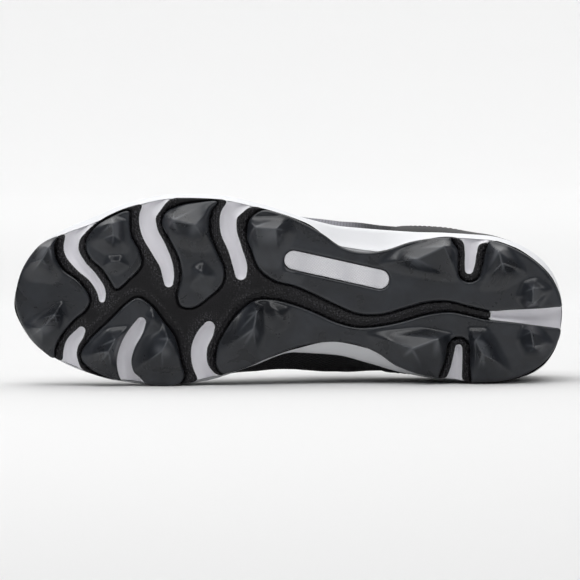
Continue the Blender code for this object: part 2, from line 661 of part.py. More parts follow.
def foam_ring(level, blend, inset):
    """Ring of the midsole: blend 0 is the plate's outline and 1 the midsole's own."""
    ring = []
    for turn in loop_turns():
        low = ring_point("plate", turn, 0.4 * MM)
        high = ring_point("foam", turn, inset)
        p = low + (high - low) * blend
        base = plate_height(p[0]) + FOAM_LOW
        ring.append((p[0], p[1], base + (footbed_height(p[0]) - base) * level))
    return ring


midsole = stacked("midsole", [foam_ring(0.0, 0.0, 0.0), foam_ring(0.22, 0.22, 0.0),
                              foam_ring(0.48, 0.62, 0.0), foam_ring(0.70, 0.95, 0.0),
                              foam_ring(0.88, 1.0, 0.0), foam_ring(1.0, 1.0, 0.9 * MM)], FOAM_WHITE)

INSOLE_INSET = LEDGE + WALL + 3 * GAP


def insole_ring(level):
    return [(*ring_point("foam", turn, INSOLE_INSET),
             footbed_height(edge_point("foam", turn)[0]) + GAP + INSOLE * level)
            for turn in loop_turns()]


insole = stacked("insole", [insole_ring(0.0), insole_ring(1.0)], LINING_GREY)


def shell(name, turns, low, high, rows, outer, inner, made_of):
    """Sheet of the last between two rises on both sides, as one closed solid between two
    distances from the last. Sides that meet at the heel, ridge or toe are joined there."""
    bm = bmesh.new()
    places = {}

    def corner(turn, rise):
        if rise > math.pi / 2 - 1e-6:
            turn, rise = abs(turn), math.pi / 2
        if abs(turn) < 1e-6 or abs(turn) > math.pi - 1e-6:
            turn = abs(turn)
        key = (round(turn, 6), round(rise, 6))
        if key not in places:
            places[key] = (bm.verts.new(last_point(turn, rise, outer)),
                           bm.verts.new(last_point(turn, rise, inner)))
        return places[key]

    outside, edges = [], {}
    for side in (1, -1):
        for a, b in zip(turns, turns[1:]):
            for j in range(rows):
                quad = []
                for angle, k in ((a, j), (b, j), (b, j + 1), (a, j + 1)):
                    lo, hi = low(angle), high(angle)
                    here = corner(side * angle, lo + (hi - lo) * k / rows)
                    if here not in quad:
                        quad.append(here)
                if len(quad) > 2:
                    outside.append(quad if side > 0 else quad[::-1])
    for quad in outside:
        bm.faces.new([pair[0] for pair in quad])
        bm.faces.new([pair[1] for pair in reversed(quad)])
        for p, q in zip(quad, quad[1:] + quad[:1]):
            edges[(p, q)] = True
    for p, q in edges:
        if (q, p) not in edges:
            bm.faces.new((p[1], q[1], q[0], p[0]))
    return add(name, mesh_of(name, bm), made_of)


throat_turn = angle_of(THROAT_END)
upper_turns = sorted([t for t in TURNS if abs(t - throat_turn) > 0.03] + [throat_turn])


def upper_edge(angle):
    return math.pi / 2 if angle > throat_turn - 1e-6 else min(edge_rise(angle), math.pi / 2 - 0.05)


upper = shell("upper", upper_turns, lambda angle: 0.0, upper_edge, 7, 0.0, -WALL, UPPER_BLACK)

# Tongue under the throat, its head standing up out of the collar
TONGUE_HALF = 0.24          # of the ball width
TONGUE_FROM, TONGUE_TO = 0.300, 0.70
HEAD_FROM = COLLAR_FRONT - 0.038
HEAD_LIFT = 0.15            # of the instep height


def tongue_point(share, across, depth):
    angle = angle_of(share)
    rise = math.pi / 2 - across
    clear = 3 * GAP + 4 * GAP * min(1.0, max(0.0, (share - 0.56) / 0.08, (0.43 - share) / 0.06))
    point = last_point(angle, rise, -WALL - clear - depth)
    head = max(0.0, (HEAD_FROM - share) / (HEAD_FROM - TONGUE_FROM))
    point[2] += INSTEP * HEAD_LIFT * head ** 1.3
    point[0] -= INSTEP * 0.05 * head
    return point


def tongue_solid():
    bm = bmesh.new()
    stations = [TONGUE_FROM + (TONGUE_TO - TONGUE_FROM) * k / 12 for k in range(13)]
    rows = []
    for k, share in enumerate(stations):
        here = last_section(angle_of(share))
        half_width = BALL_WIDTH * 0.5 * (edge_point("foam", -angle_of(share))[1]
                                         - edge_point("foam", angle_of(share))[1]) / BALL_WIDTH
        spread = math.atan2(TONGUE_HALF * BALL_WIDTH, half_width)
        spread *= 0.8 if k in (0, len(stations) - 1) else 1.0
        ring = []
        for depth, order in ((0.0, range(-4, 5)), (TONGUE, range(4, -5, -1))):
            for j in order:
                thin = abs(j) == 4 and depth > 0
                ring.append(bm.verts.new(tongue_point(share, spread * j / 4,
                                                      depth * (0.45 if thin else 1.0))))
        rows.append(ring)
    count = len(rows[0])
    for a, b in zip(rows, rows[1:]):
        for i in range(count):
            j = (i + 1) % count
            bm.faces.new((a[i], a[j], b[j], b[i]))
    for ring in (rows[0], rows[-1]):
        for j in range(8):
            bm.faces.new((ring[j], ring[j + 1], ring[16 - j], ring[17 - j]))
    return add("tongue", mesh_of("tongue", bm), LINING_GREY)


tongue = tongue_solid()

# Overlays: toe cap, heel counter and eyestay, each cut from one sheet just outside the upper
OVER_LOW = 1.6 * GAP
OVER_HIGH = OVER_LOW + OVERLAY
TOE_CAP_EDGE = [Corner(1.02, 0.60), Corner(0.875, 0.60), Corner(0.872, 0.30), Corner(0.902, 0.14),
                Corner(0.918, -0.05), Corner(0.908, -0.22), Corner(0.880, -0.40),
                Corner(0.872, -0.70), Corner(1.02, -0.70)]
Side = namedtuple("Side", "along up")       # share of the length, of the instep over the footbed
COUNTER_EDGE = [Side(-0.05, -0.30), Side(-0.05, 0.62), Side(0.03, 0.62), Side(0.10, 0.58),
                Side(0.17, 0.47), Side(0.23, 0.30), Side(0.275, 0.12), Side(0.30, -0.30)]
EYESTAY_WIDE = 0.115        # of the ball width in plan, from the throat's edge
EYESTAY_FRONT = 0.705


def overlay(name, cutter):
    sheet = shell(name, upper_turns, lambda angle: 0.0, upper_edge, 7, OVER_HIGH, OVER_LOW,
                  OVERLAY_BLACK)
    cut(sheet, cutter, "INTERSECT")
    return sheet


def side_prism(name, outline):
    """Prism across the shoe over an outline in its side view."""
    bm = bmesh.new()
    near = [bm.verts.new((x, -BALL_WIDTH, z)) for x, z in outline]
    far = [bm.verts.new((x, BALL_WIDTH, z)) for x, z in outline]
    count = len(outline)
    for i in range(count):
        j = (i + 1) % count
        bm.faces.new((near[i], near[j], far[j], far[i]))
    bm.faces.new(near)
    bm.faces.new(list(reversed(far)))
    return add(name, mesh_of(name, bm), to=cutters)


def eyestay_outline():
    """Plan of the eyestay: outside the throat's edge on both sides and round its front."""
    medial, lateral = [], []
    for k in range(9):
        share = COLLAR_FRONT - 0.008 + (THROAT_END - COLLAR_FRONT) * k / 8
        angle = angle_of(share)
        for line, side in ((medial, 1), (lateral, -1)):
            edge = last_point(side * angle, upper_edge(angle) if k < 8 else math.pi / 2)
            line.append((edge[0], edge[1] - side * EYESTAY_WIDE * BALL_WIDTH))
    front = last_point(throat_turn, math.pi / 2)
    bow = [(EYESTAY_FRONT * LENGTH * (1 - back), front[1] + side * EYESTAY_WIDE * BALL_WIDTH)
           for back, side in ((0.018, -0.75), (0.004, -0.4), (0.0, 0.0), (0.004, 0.4), (0.018, 0.75))]
    return medial + bow + list(reversed(lateral))


toe_cap = overlay("toe_cap", prism("toe cap edge", shares(TOE_CAP_EDGE), high=4 * INSTEP))
heel_counter = overlay("heel_counter", side_prism("counter edge", [
    (row.along * LENGTH, footbed_height(0.0) + row.up * INSTEP) for row in COUNTER_EDGE]))
eyestay = overlay("eyestay", prism("eyestay edge", eyestay_outline(), high=4 * INSTEP))

# Laces: crossings from eyelet to eyelet, one family lying just over the other
EYELETS = [0.398, 0.448, 0.498, 0.548, 0.598, 0.645]
LACE_CLEAR = OVER_HIGH + 3 * GAP
EYELET_IN = 0.085           # of the ball width, from the throat's edge to the eyelet


def eyelet_rise(share):
    angle = angle_of(share)
    half = (edge_point("foam", -angle)[1] - edge_point("foam", angle)[1]) / 2
    return upper_edge(angle) - math.atan2(EYELET_IN * BALL_WIDTH, half)


def lace(start, end, side, lift, reach=0.0):
    """Flat lace from one side's eyelet to the other side's, just over the last."""
    segments = 6
    bm = bmesh.new()
    path, normals = [], []
    rise_a, rise_b = eyelet_rise(start) - reach, math.pi - eyelet_rise(end) + reach
    for k in range(segments + 1):
        t = k / segments
        share = start + (end - start) * t
        rise = rise_a + (rise_b - rise_a) * t
        turn = side * angle_of(share)
        path.append(last_point(turn, rise, LACE_CLEAR + lift))
        normals.append(last_point(turn, rise, MM) - last_point(turn, rise))
    rows = []
    for k, p in enumerate(path):
        run = path[min(k + 1, segments)] - path[max(k - 1, 0)]
        normal = normals[k] / np.linalg.norm(normals[k])
        if normal[2] < 0:
            normal = -normal
        wide = np.cross(run, normal)
        wide *= LACE_WIDE / 2 / np.linalg.norm(wide)
        rows.append([bm.verts.new(q) for q in (p - wide, p + wide, p + wide + normal * LACE_THICK,
                                               p - wide + normal * LACE_THICK)])
    for a, b in zip(rows, rows[1:]):
        for i in range(4):
            j = (i + 1) % 4
            bm.faces.new((a[i], a[j], b[j], b[i]))
    bm.faces.new(rows[0])
    bm.faces.new(list(reversed(rows[-1])))
    return add("laces", mesh_of("laces", bm), LACE_BLACK)


laces = lace(EYELETS[-1], EYELETS[-1], 1, LACE_THICK * 0.35, 0.05)
for lower, higher in zip(EYELETS[1:], EYELETS):
    for side, lift, reach in ((1, 0.0, 0.02), (-1, LACE_THICK * 0.7, -0.01)):
        crossing = lace(lower, higher, side, lift, reach)
        cut(laces, crossing, "UNION")
        bpy.data.objects.remove(crossing)


# The resting pose: on the facet of the whole shoe's hull that the centre of mass stands over
def solid_sums(thing):
    """Volume of a closed mesh, and its centre times that volume."""
    mesh = thing.data
    mesh.calc_loop_triangles()
    points = np.array([v.co[:] for v in mesh.vertices])
    corner = points[np.array([t.vertices[:] for t in mesh.loop_triangles])]
    sixth = np.einsum("ij,ij->i", corner[:, 0], np.cross(corner[:, 1], corner[:, 2])) / 6
    return sixth.sum(), (sixth[:, None] * corner.sum(axis=1) / 4).sum(axis=0)


DENSITY = {"upper": 900, "toe_cap": 900, "heel_counter": 900, "eyestay": 900,
           "tongue": 300, "laces": 300, "insole": 300}
OTHER_DENSITY = 1100


def resting_frame():
    mass, moment = 0.0, np.zeros(3)
    for thing in parts.objects:
        volume, first_moment = solid_sums(thing)
        density = DENSITY.get(thing.name, OTHER_DENSITY)
        mass += volume * density
        moment += first_moment * density
    middle = moment / mass
    bm = bmesh.new()
    for thing in parts.objects:
        for v in thing.data.vertices:
            bm.verts.new(v.co)
    hull = bmesh.ops.convex_hull(bm, input=bm.verts[:])
    faces = [g for g in hull["geom"] if isinstance(g, bmesh.types.BMFace)]
    best = None
    for face in faces:
        corner = np.array([v.co[:] for v in face.verts[:3]])
        normal = np.cross(corner[1] - corner[0], corner[2] - corner[0])
        size = np.linalg.norm(normal)
        if size < 1e-12:
            continue
        normal /= size
        if np.dot(normal, corner[0] - middle) < 0:
            normal = -normal
            corner = corner[::-1]
        if normal[1] > -0.5:
            continue
        height = np.dot(normal, corner[0] - middle)
        foot = middle + normal * height
        inside = all(np.dot(np.cross(corner[(i + 1) % 3] - corner[i], foot - corner[i]), normal) > -1e-9
                     for i in range(3))
        if inside and (best is None or height < best[0]):
            best = (height, normal, corner)
    bm.free()
    height, normal, corner = best
    return normal, float(np.dot(normal, corner[0]))


normal, reach = resting_frame()
up = -normal
run = np.array([-1.0, 0.0, 0.0])
run -= up * np.dot(run, up)
run /= np.linalg.norm(run)
deep = np.cross(up, run)
turn_to_rest = Matrix((tuple(run) + (0,), tuple(deep) + (0,), tuple(up) + (0,), (0, 0, 0, 1)))
for thing in list(parts.objects) + list(cutters.objects):
    thing.data.transform(turn_to_rest)
floor_height = -reach + FLAT

# Flats where the shoe touches the floor
bm = bmesh.new()
bmesh.ops.create_cube(bm, size=1.0)
bmesh.ops.scale(bm, vec=(2.4 * LENGTH, 2.4 * LENGTH, LENGTH), verts=bm.verts[:])
bmesh.ops.translate(bm, vec=(0, 0, floor_height - LENGTH / 2), verts=bm.verts[:])
floor_block = add("floor block", mesh_of("floor block", bm), to=cutters)
for thing in parts.objects:
    if min(v.co.z for v in thing.data.vertices) < floor_height:
        cut(thing, floor_block, "DIFFERENCE")

corners_of_all = np.array([v.co[:] for thing in parts.objects for v in thing.data.vertices])
low, high = corners_of_all.min(axis=0), corners_of_all.max(axis=0)
shift = Matrix.Translation((-(low[0] + high[0]) / 2, -(low[1] + high[1]) / 2, -floor_height))
for thing in list(parts.objects) + list(cutters.objects):
    thing.data.transform(shift)
for thing in parts.objects:
    for face in thing.data.polygons:
        face.use_smooth = False
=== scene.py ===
"""Baseball cleat, left shoe, lying on its inner side with the studded sole facing the camera.

The shapes are worked out in the upright shoe's frame: x from heel to toe, y to the outer side,
z up from the ground under the studs. The function at_rest turns them into the lying pose.
"""
import math
from collections import namedtuple

import bmesh
import bpy
import numpy as np
from mathutils import Matrix, Vector
from mathutils.geometry import delaunay_2d_cdt


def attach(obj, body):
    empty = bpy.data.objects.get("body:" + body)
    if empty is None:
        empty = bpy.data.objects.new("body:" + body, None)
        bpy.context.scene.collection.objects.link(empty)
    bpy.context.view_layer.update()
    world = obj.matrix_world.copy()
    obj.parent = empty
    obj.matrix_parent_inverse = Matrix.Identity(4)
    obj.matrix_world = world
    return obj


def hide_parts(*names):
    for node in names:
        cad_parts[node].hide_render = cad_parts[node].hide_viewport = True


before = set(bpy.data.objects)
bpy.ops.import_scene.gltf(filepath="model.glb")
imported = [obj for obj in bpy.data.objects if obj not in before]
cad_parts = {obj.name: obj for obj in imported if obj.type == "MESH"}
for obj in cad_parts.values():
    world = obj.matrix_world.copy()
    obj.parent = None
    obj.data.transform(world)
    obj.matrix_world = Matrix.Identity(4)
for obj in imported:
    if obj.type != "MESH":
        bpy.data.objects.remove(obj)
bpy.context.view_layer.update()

MM = 0.001

# Camera: a long lens almost square to the sole, a little above the floor.
PHOTO_WIDE, PIXEL = 580, 0.549 * MM       # pixels across, and a pixel in the plane of the sole
NEARER = 0.995                            # the studs stand a little in front of that plane
camera_data = bpy.data.cameras.new("camera")
camera_data.sensor_width = 36
camera_data.lens = 400
camera = bpy.data.objects.new("camera", camera_data)
bpy.context.scene.collection.objects.link(camera)
bpy.context.scene.camera = camera
distance = NEARER * PHOTO_WIDE * PIXEL * camera_data.lens / camera_data.sensor_width
aim, elevation, roll = Vector((0.0008, -0.046, 0.0520)), math.radians(2.0), math.radians(-0.4)
away = Vector((0.0, -math.cos(elevation), math.sin(elevation)))
camera.location = aim + away * distance
camera.rotation_mode = "QUATERNION"
camera.rotation_quaternion = (away.to_track_quat("Z", "Y").to_matrix()
                              @ Matrix.Rotation(roll, 3, "Z")).to_quaternion()


# Floor and light: a seamless pale paper sweep under soft boxes, as in a shoe catalogue.
def linear(hex_colour):
    """Colour of a material from the sRGB hex that the eye sees."""
    channels = [int(hex_colour[i:i + 2], 16) / 255 for i in (0, 2, 4)]
    return [c / 12.92 if c <= 0.04045 else ((c + 0.055) / 1.055) ** 2.4 for c in channels] + [1.0]


def node(tree, kind, inputs=None, output=0, stops=(), into=None, **settings):
    """Adds a shader node and gives its output. An input is a value or another node's output,
    stops are a ramp's places and colours, and into is the shader's socket that it feeds."""
    made = tree.nodes.new("ShaderNode" + kind)
    for name, value in settings.items():
        setattr(made, name, value)
    for name, value in (inputs or {}).items():
        if isinstance(value, bpy.types.NodeSocket):
            tree.links.new(value, made.inputs[name])
        else:
            made.inputs[name].default_value = value
    for k, (position, colour) in enumerate(stops):
        made.color_ramp.elements[k].position = position
        made.color_ramp.elements[k].color = linear(colour)
    if into:
        tree.links.new(made.outputs[output], tree.nodes["Principled BSDF"].inputs[into])
    return made.outputs[output]


def new_material(name, **inputs):
    made = bpy.data.materials.new(name)
    made.use_nodes = True
    for key, value in inputs.items():
        made.node_tree.nodes["Principled BSDF"].inputs[key.replace("_", " ")].default_value = value
    return made, made.node_tree


def mesh_object(name, points, faces, material, to_rest=True):
    mesh = bpy.data.meshes.new(name)
    points = np.array(at_rest(points) if to_rest else points)
    points[:, 2] = np.maximum(points[:, 2], 0)        # the floor flattens what lies on it
    mesh.from_pydata([tuple(p) for p in points], [], [tuple(int(i) for i in f) for f in faces])
    mesh.validate()
    mesh.materials.append(material)
    mesh.polygons.foreach_set("use_smooth", [True] * len(mesh.polygons))
    made = bpy.data.objects.new(name, mesh)
    bpy.context.scene.collection.objects.link(made)
    return made


# Matte white paper: faint fibre keeps the ground from looking flat, and the paper far behind
# the shoe is paler, which keeps the background even.
paper, tree = new_material("matte white paper", Roughness=0.9)
place = node(tree, "TexCoord", output="Object")
fibre = node(tree, "TexNoise", {"Vector": place, "Scale": 900.0, "Detail": 2.0})
behind = node(tree, "SeparateXYZ", {"Vector": place}, output="Y")
fading = node(tree, "MapRange", {"Value": behind, "From Min": 0.0, "From Max": 1.1})
mottled = node(tree, "Math", {0: fibre, 1: 0.03, 2: fading}, operation="MULTIPLY_ADD")
node(tree, "ValToRGB", {"Fac": mottled}, stops=[(0.0, "e4e4e4"), (1.0, "fafafa")], into="Base Color")

NEAR, FAR, BEND, HIGH, HALF = -6.0, 5.0, 1.5, 4.0, 6.0   # sweep's ends, bend, top and half width
sweep_profile = [(NEAR, 0.0), (FAR, 0.0)] + [
    (FAR + BEND * math.sin(a), BEND - BEND * math.cos(a)) for a in np.linspace(0.1, math.pi / 2, 12)
] + [(FAR + BEND, HIGH)]
sweep = mesh_object(
    "paper_sweep", [(x, y, z) for y, z in sweep_profile for x in (-HALF, HALF)],
    [(2 * i, 2 * i + 1, 2 * i + 3, 2 * i + 2) for i in range(len(sweep_profile) - 1)],
    paper, to_rest=False)

world = bpy.data.worlds.new("studio")
world.use_nodes = True
background = world.node_tree.nodes["Background"]
background.inputs["Color"].default_value = (1, 1, 1, 1)
background.inputs["Strength"].default_value = 0.10
bpy.context.scene.world = world
bpy.context.scene.view_settings.view_transform = "Standard"

SoftBox = namedtuple("SoftBox", "name place size_x size_y power")
for box in [SoftBox("overhead softbox", (-0.10, -0.10, 1.50), 1.2, 0.9, 7.5),
            SoftBox("wide overhead softbox", (0.0, -0.20, 2.30), 3.4, 2.6, 13),
            SoftBox("upper left softbox", (-0.95, -0.70, 1.00), 0.4, 0.4, 2.8),
            SoftBox("front softbox", (0.0, -2.0, 2.20), 3.0, 1.2, 36),
            SoftBox("backdrop light", (0.0, 3.7, 3.40), 10.0, 5.4, 231)]:
    lamp_data = bpy.data.lights.new(box.name, "AREA")
    lamp_data.shape, lamp_data.size, lamp_data.size_y = "RECTANGLE", box.size_x, box.size_y
    lamp_data.energy = box.power
    lamp = bpy.data.objects.new(box.name, lamp_data)
    lamp.location = box.place
    lamp.rotation_mode = "QUATERNION"
    if box.size_x < 1:                                # small lamps aim at the shoe, others down
        lamp.rotation_quaternion = (Vector(box.place) - Vector((0, 0, 0.05))).to_track_quat("Z", "Y")
    bpy.context.scene.collection.objects.link(lamp)


# The sole's outline and side profile, on which the moulder's plates and the foam are laid out:
# shares of the length and of the ball width, then of the toe spring and the heel stack.
LENGTH, BALL_WIDTH = 300 * MM, 104 * MM
STUD, TOE_SPRING, HEEL_STACK = 11 * MM, 16 * MM, 19 * MM
POD, WEB, GAP = 2.0 * MM, 1.5 * MM, 0.3 * MM             # the plates' thickness, gaps between
LEDGE = 1.5 * MM                                         # the foam's ledge round the upper
WEB_LOW = POD + GAP
FOAM_LOW = WEB_LOW + WEB + GAP
LIE, LEAN = math.radians(4.976), math.radians(0.389)     # lying pose: nose down, then sideways
PUT = np.array([149.815, -60.583, 36.378]) * MM

Outline = namedtuple("Outline", "along plate_medial plate_lateral foam_medial foam_lateral")
OUTLINE = [
    Outline(0.000, -0.006, -0.006, 0.000, 0.000),
    Outline(0.010, -0.180, 0.123, -0.200, 0.150),
    Outline(0.030, -0.268, 0.214, -0.286, 0.244),
    Outline(0.060, -0.327, 0.285, -0.340, 0.315),
    Outline(0.100, -0.366, 0.345, -0.375, 0.365),
    Outline(0.150, -0.384, 0.374, -0.393, 0.388),
    Outline(0.220, -0.374, 0.370, -0.388, 0.385),
    Outline(0.290, -0.335, 0.320, -0.367, 0.375),
    Outline(0.345, -0.254, 0.266, -0.335, 0.373),
    Outline(0.410, -0.230, 0.276, -0.305, 0.374),
    Outline(0.480, -0.283, 0.382, -0.308, 0.402),
    Outline(0.560, -0.386, 0.440, -0.400, 0.457),
    Outline(0.640, -0.480, 0.471, -0.492, 0.487),
    Outline(0.720, -0.527, 0.460, -0.535, 0.478),
    Outline(0.800, -0.520, 0.396, -0.528, 0.416),
    Outline(0.870, -0.482, 0.290, -0.489, 0.316),
    Outline(0.920, -0.430, 0.222, -0.437, 0.240),
    Outline(0.960, -0.358, 0.138, -0.368, 0.152),
    Outline(0.985, -0.272, 0.032, -0.282, 0.046),
    Outline(1.000, -0.157, -0.157, -0.158, -0.158),
]
Profile = namedtuple("Profile", "along lift stack")
PROFILE = [
    Profile(0.00, 0.16, 1.00), Profile(0.06, 0.06, 1.00), Profile(0.14, 0.00, 1.00),
    Profile(0.24, 0.04, 0.96), Profile(0.34, 0.20, 0.86), Profile(0.44, 0.30, 0.72),
    Profile(0.54, 0.20, 0.60), Profile(0.64, 0.05, 0.52), Profile(0.72, 0.00, 0.48),
    Profile(0.80, 0.08, 0.46), Profile(0.88, 0.32, 0.45), Profile(0.95, 0.68, 0.44),
    Profile(1.00, 1.00, 0.42),
]


def at_rest(points):
    """Points of the upright shoe in the pose in which it lies."""
    points = np.asarray(points, float)
    axes = np.array([
        (-math.cos(LIE), math.cos(LEAN) * math.sin(LIE), math.sin(LEAN) * math.sin(LIE)),
        (0.0, -math.sin(LEAN), math.cos(LEAN)),
        (math.sin(LIE), math.cos(LIE) * math.cos(LEAN), math.cos(LIE) * math.sin(LEAN))])
    return points @ axes.T + PUT


def cubic(t, h, a, slope_a, b, slope_b):
    """Curve from a to b with the slopes given at its ends, at shares t of the step h."""
    return ((2 * t ** 3 - 3 * t ** 2 + 1) * a + (t ** 3 - 2 * t ** 2 + t) * h * slope_a
            + (3 * t ** 2 - 2 * t ** 3) * b + (t ** 3 - t ** 2) * h * slope_b)


def smooth(xs, ys, x):
    """Values at x of a smooth curve through the points that never swings past them."""
    xs, ys, x = np.asarray(xs, float), np.asarray(ys, float), np.asarray(x, float)
    x = np.clip(x, xs[0], xs[-1])
    i = np.clip(np.searchsorted(xs, x, side="right") - 1, 0, len(xs) - 2)
    steps = np.diff(xs)
    slopes = np.diff(ys) / steps
    before, after = slopes[:-1], slopes[1:]
    weight_a, weight_b = 2 * steps[1:] + steps[:-1], steps[1:] + 2 * steps[:-1]
    turning = before * after <= 0
    inner = np.where(turning, 0.0, (weight_a + weight_b) / (
        weight_a / np.where(turning, 1, before) + weight_b / np.where(turning, 1, after)))
    tangents = np.concatenate([slopes[:1], inner, slopes[-1:]])
    return cubic((x - xs[i]) / steps[i], steps[i], ys[i], tangents[i], ys[i + 1], tangents[i + 1])


def ease(t):
    """Soft step from 0 to 1."""
    t = np.clip(t, 0.0, 1.0)
    return t * t * (3 - 2 * t)


def angle_of(share):
    return np.arccos(np.clip(1 - 2 * np.asarray(share, float), -1.0, 1.0))


def share_of(angle):
    return (1 - np.cos(angle)) / 2


def column(table, name):
    return [getattr(row, name) for row in table]


def plate_height(x):
    """Ground side of the raised pods above the ground."""
    return STUD + TOE_SPRING * smooth(column(PROFILE, "along"), column(PROFILE, "lift"), x / LENGTH)


def footbed_height(x):
    return plate_height(x) + FOAM_LOW + HEEL_STACK * smooth(
        column(PROFILE, "along"), column(PROFILE, "stack"), x / LENGTH)


def edge_points(layer, turn):
    """Points of an outline: turn 0 at the heel, pi at the toe, minus on the outer side."""
    angle = np.abs(turn)
    stations = angle_of(column(OUTLINE, "along"))
    medial = smooth(stations, column(OUTLINE, f"{layer}_medial"), angle)
    lateral = smooth(stations, column(OUTLINE, f"{layer}_lateral"), angle)
    return np.stack([LENGTH * share_of(angle), BALL_WIDTH * np.where(turn >= 0, medial, lateral)], -1)


def wrapped(turn):
    return (turn + math.pi) % (2 * math.pi) - math.pi


def unit(vectors):
    return vectors / np.linalg.norm(vectors, axis=-1, keepdims=True)


def edge_normals(layer, turn, step=0.03):
    run = edge_points(layer, wrapped(turn + step)) - edge_points(layer, wrapped(turn - step))
    return unit(np.stack([run[..., 1], -run[..., 0]], -1))


def ring_points(layer, turn, inset):
    return edge_points(layer, turn) - np.asarray(inset)[..., None] * edge_normals(layer, turn)


# Regions of the sole in plan: a closed outline read as a distance, minus inside, so that plates,
# channels and notches can be combined, and filled with a fine mesh up to their true edge.
def closed_curve(corners, samples=5):
    """Smooth closed curve through corners in shares of the length and ball width."""
    points = np.array(corners, float) * (LENGTH, BALL_WIDTH)
    count, line = len(points), []
    for i in range(count):
        p0, p1, p2, p3 = (points[(i + k) % count] for k in (-1, 0, 1, 2))
        d = [max(np.linalg.norm(b - a), 1e-9) ** 0.5 for a, b in ((p0, p1), (p1, p2), (p2, p3))]
        m1 = ((p1 - p0) / d[0] - (p2 - p0) / (d[0] + d[1]) + (p2 - p1) / d[1]) * d[1]
        m2 = ((p2 - p1) / d[1] - (p3 - p1) / (d[1] + d[2]) + (p3 - p2) / d[2]) * d[1]
        line += [cubic(t, 1, p1, m1, p2, m2) for t in np.arange(samples) / samples]
    return np.array(line)


def run_length(path):
    """Length of a path up to each of its points."""
    return np.concatenate([[0], np.cumsum(np.linalg.norm(np.diff(path, axis=0), axis=1))])


def ribbon(rows, samples=5, blunt=0.0):
    """Outline of a channel from its centre line and half widths, with a tip that is round, or
    as much cut off as blunt says."""
    table = np.array(rows, float) * (LENGTH, BALL_WIDTH, BALL_WIDTH)
    along = run_length(table[:, :2])
    at = np.linspace(0, along[-1] - table[-1, 2] * (1 - blunt), samples * len(rows))
    slopes = np.gradient(table, along, axis=0)
    i = np.clip(np.searchsorted(along, at, side="right") - 1, 0, len(rows) - 2)
    h = (along[i + 1] - along[i])[:, None]
    line = cubic((at - along[i])[:, None] / h, h, table[i], slopes[i], table[i + 1], slopes[i + 1])
    run = unit(np.gradient(line[:, :2], axis=0))
    side = np.stack([-run[:, 1], run[:, 0]], -1)
    a = np.linspace(math.pi / 2, -math.pi / 2, 9)[1:-1, None]
    tip = line[-1, :2] + line[-1, 2] * (run[-1] * np.cos(a) * (1 - blunt) + side[-1] * np.sin(a))
    return np.concatenate([line[:, :2] + side * line[:, 2:], tip,
                           (line[:, :2] - side * line[:, 2:])[::-1]])


def distance_to(outline, points, reach=9 * MM):
    """Distance of plan points from a closed outline, minus inside it. Beyond the reach it is
    the distance from the outline's box, which is never more."""
    beyond = np.maximum(outline.min(axis=0) - points, points - outline.max(axis=0))
    found = np.linalg.norm(np.maximum(beyond, 0), axis=1)
    close = found < reach
    points = points[close]
    a, b = outline, np.roll(outline, -1, axis=0)
    nearest = np.full(len(points), 1e9)
    inside = np.zeros(len(points), bool)
    for p, q in zip(a, b):
        run = q - p
        t = np.clip(((points - p) @ run) / max(run @ run, 1e-18), 0, 1)
        nearest = np.minimum(nearest, np.linalg.norm(points - p - t[:, None] * run, axis=1))
        crosses = (p[1] > points[:, 1]) != (q[1] > points[:, 1])
        with np.errstate(divide="ignore", invalid="ignore"):
            left = points[:, 0] < (q[0] - p[0]) * (points[:, 1] - p[1]) / (q[1] - p[1]) + p[0]
        inside ^= crosses & left
    found[close] = np.where(inside, -nearest, nearest)
    return found


def fill_region(distance, around, step, rings, keep=None, margin=MM):
    """Triangles that fill a region up to its edge. Gives the plan points, the triangles and the
    edge as directed pairs. Rings are insets with rows of points of their own."""
    xs, ys = (np.arange(around[:, k].min() - margin, around[:, k].max() + margin + step, step)
              for k in (0, 1))
    grid = np.stack(np.meshgrid(xs, ys, indexing="ij"), -1)
    field = distance(grid.reshape(-1, 2)).reshape(len(xs), len(ys))
    field = np.where(np.abs(field) < step * 1e-3, step * 1e-3, field)
    points, links = [], []
    for level in [0.0] + rings:
        f = field + level
        crossing = {}
        for axis in (0, 1):
            a = f[:-1, :] if axis == 0 else f[:, :-1]
            b = f[1:, :] if axis == 0 else f[:, 1:]
            for i, j in np.argwhere((a < 0) != (b < 0)):
                t = np.clip(a[i, j] / (a[i, j] - b[i, j]), 0.04, 0.96)
                start = grid[i, j]
                crossing[(axis, i, j)] = len(points)
                points.append(start + (grid[i + (axis == 0), j + (axis == 1)] - start) * t)
        if level == 0.0:
            cells = {(i - (axis == 1) * k, j - (axis == 0) * k)
                     for axis, i, j in crossing for k in (0, 1)}
            for i, j in cells:
                sides = [crossing.get(key) for key in ((0, i, j), (1, i + 1, j), (0, i, j + 1),
                                                       (1, i, j))]
                ends = [s for s in sides if s is not None]
                links += [(ends[k], ends[k + 1]) for k in range(0, len(ends) - 1, 2)]
    inner = field < -(rings[-1] + 0.35 * step)
    if keep is not None:
        inner &= keep(grid.reshape(-1, 2)).reshape(field.shape)
    points = np.concatenate([np.array(points), grid[inner]])
    verts, _, faces, _, _, _ = delaunay_2d_cdt([Vector(p / MM) for p in points], links, [], 0, 1e-4)
    verts = np.array([v[:] for v in verts]) * MM
    faces = np.array([f for f in faces if len(f) == 3])
    middle = (verts[faces].mean(axis=1) - (xs[0], ys[0])) / step
    i = np.clip(middle.astype(int), 0, np.array(field.shape) - 2)
    f = middle - i
    near_side, far_side = (field[i[:, 0], i[:, 1] + k] * (1 - f[:, 0])
                           + field[i[:, 0] + 1, i[:, 1] + k] * f[:, 0] for k in (0, 1))
    faces = faces[near_side * (1 - f[:, 1]) + far_side * f[:, 1] < 0][:, ::-1]
    pairs = {(int(f[k]), int(f[(k + 1) % 3])) for f in faces for k in range(3)}
    rim = [(a, b) for a, b in pairs if (b, a) not in pairs]
    return verts, faces, rim


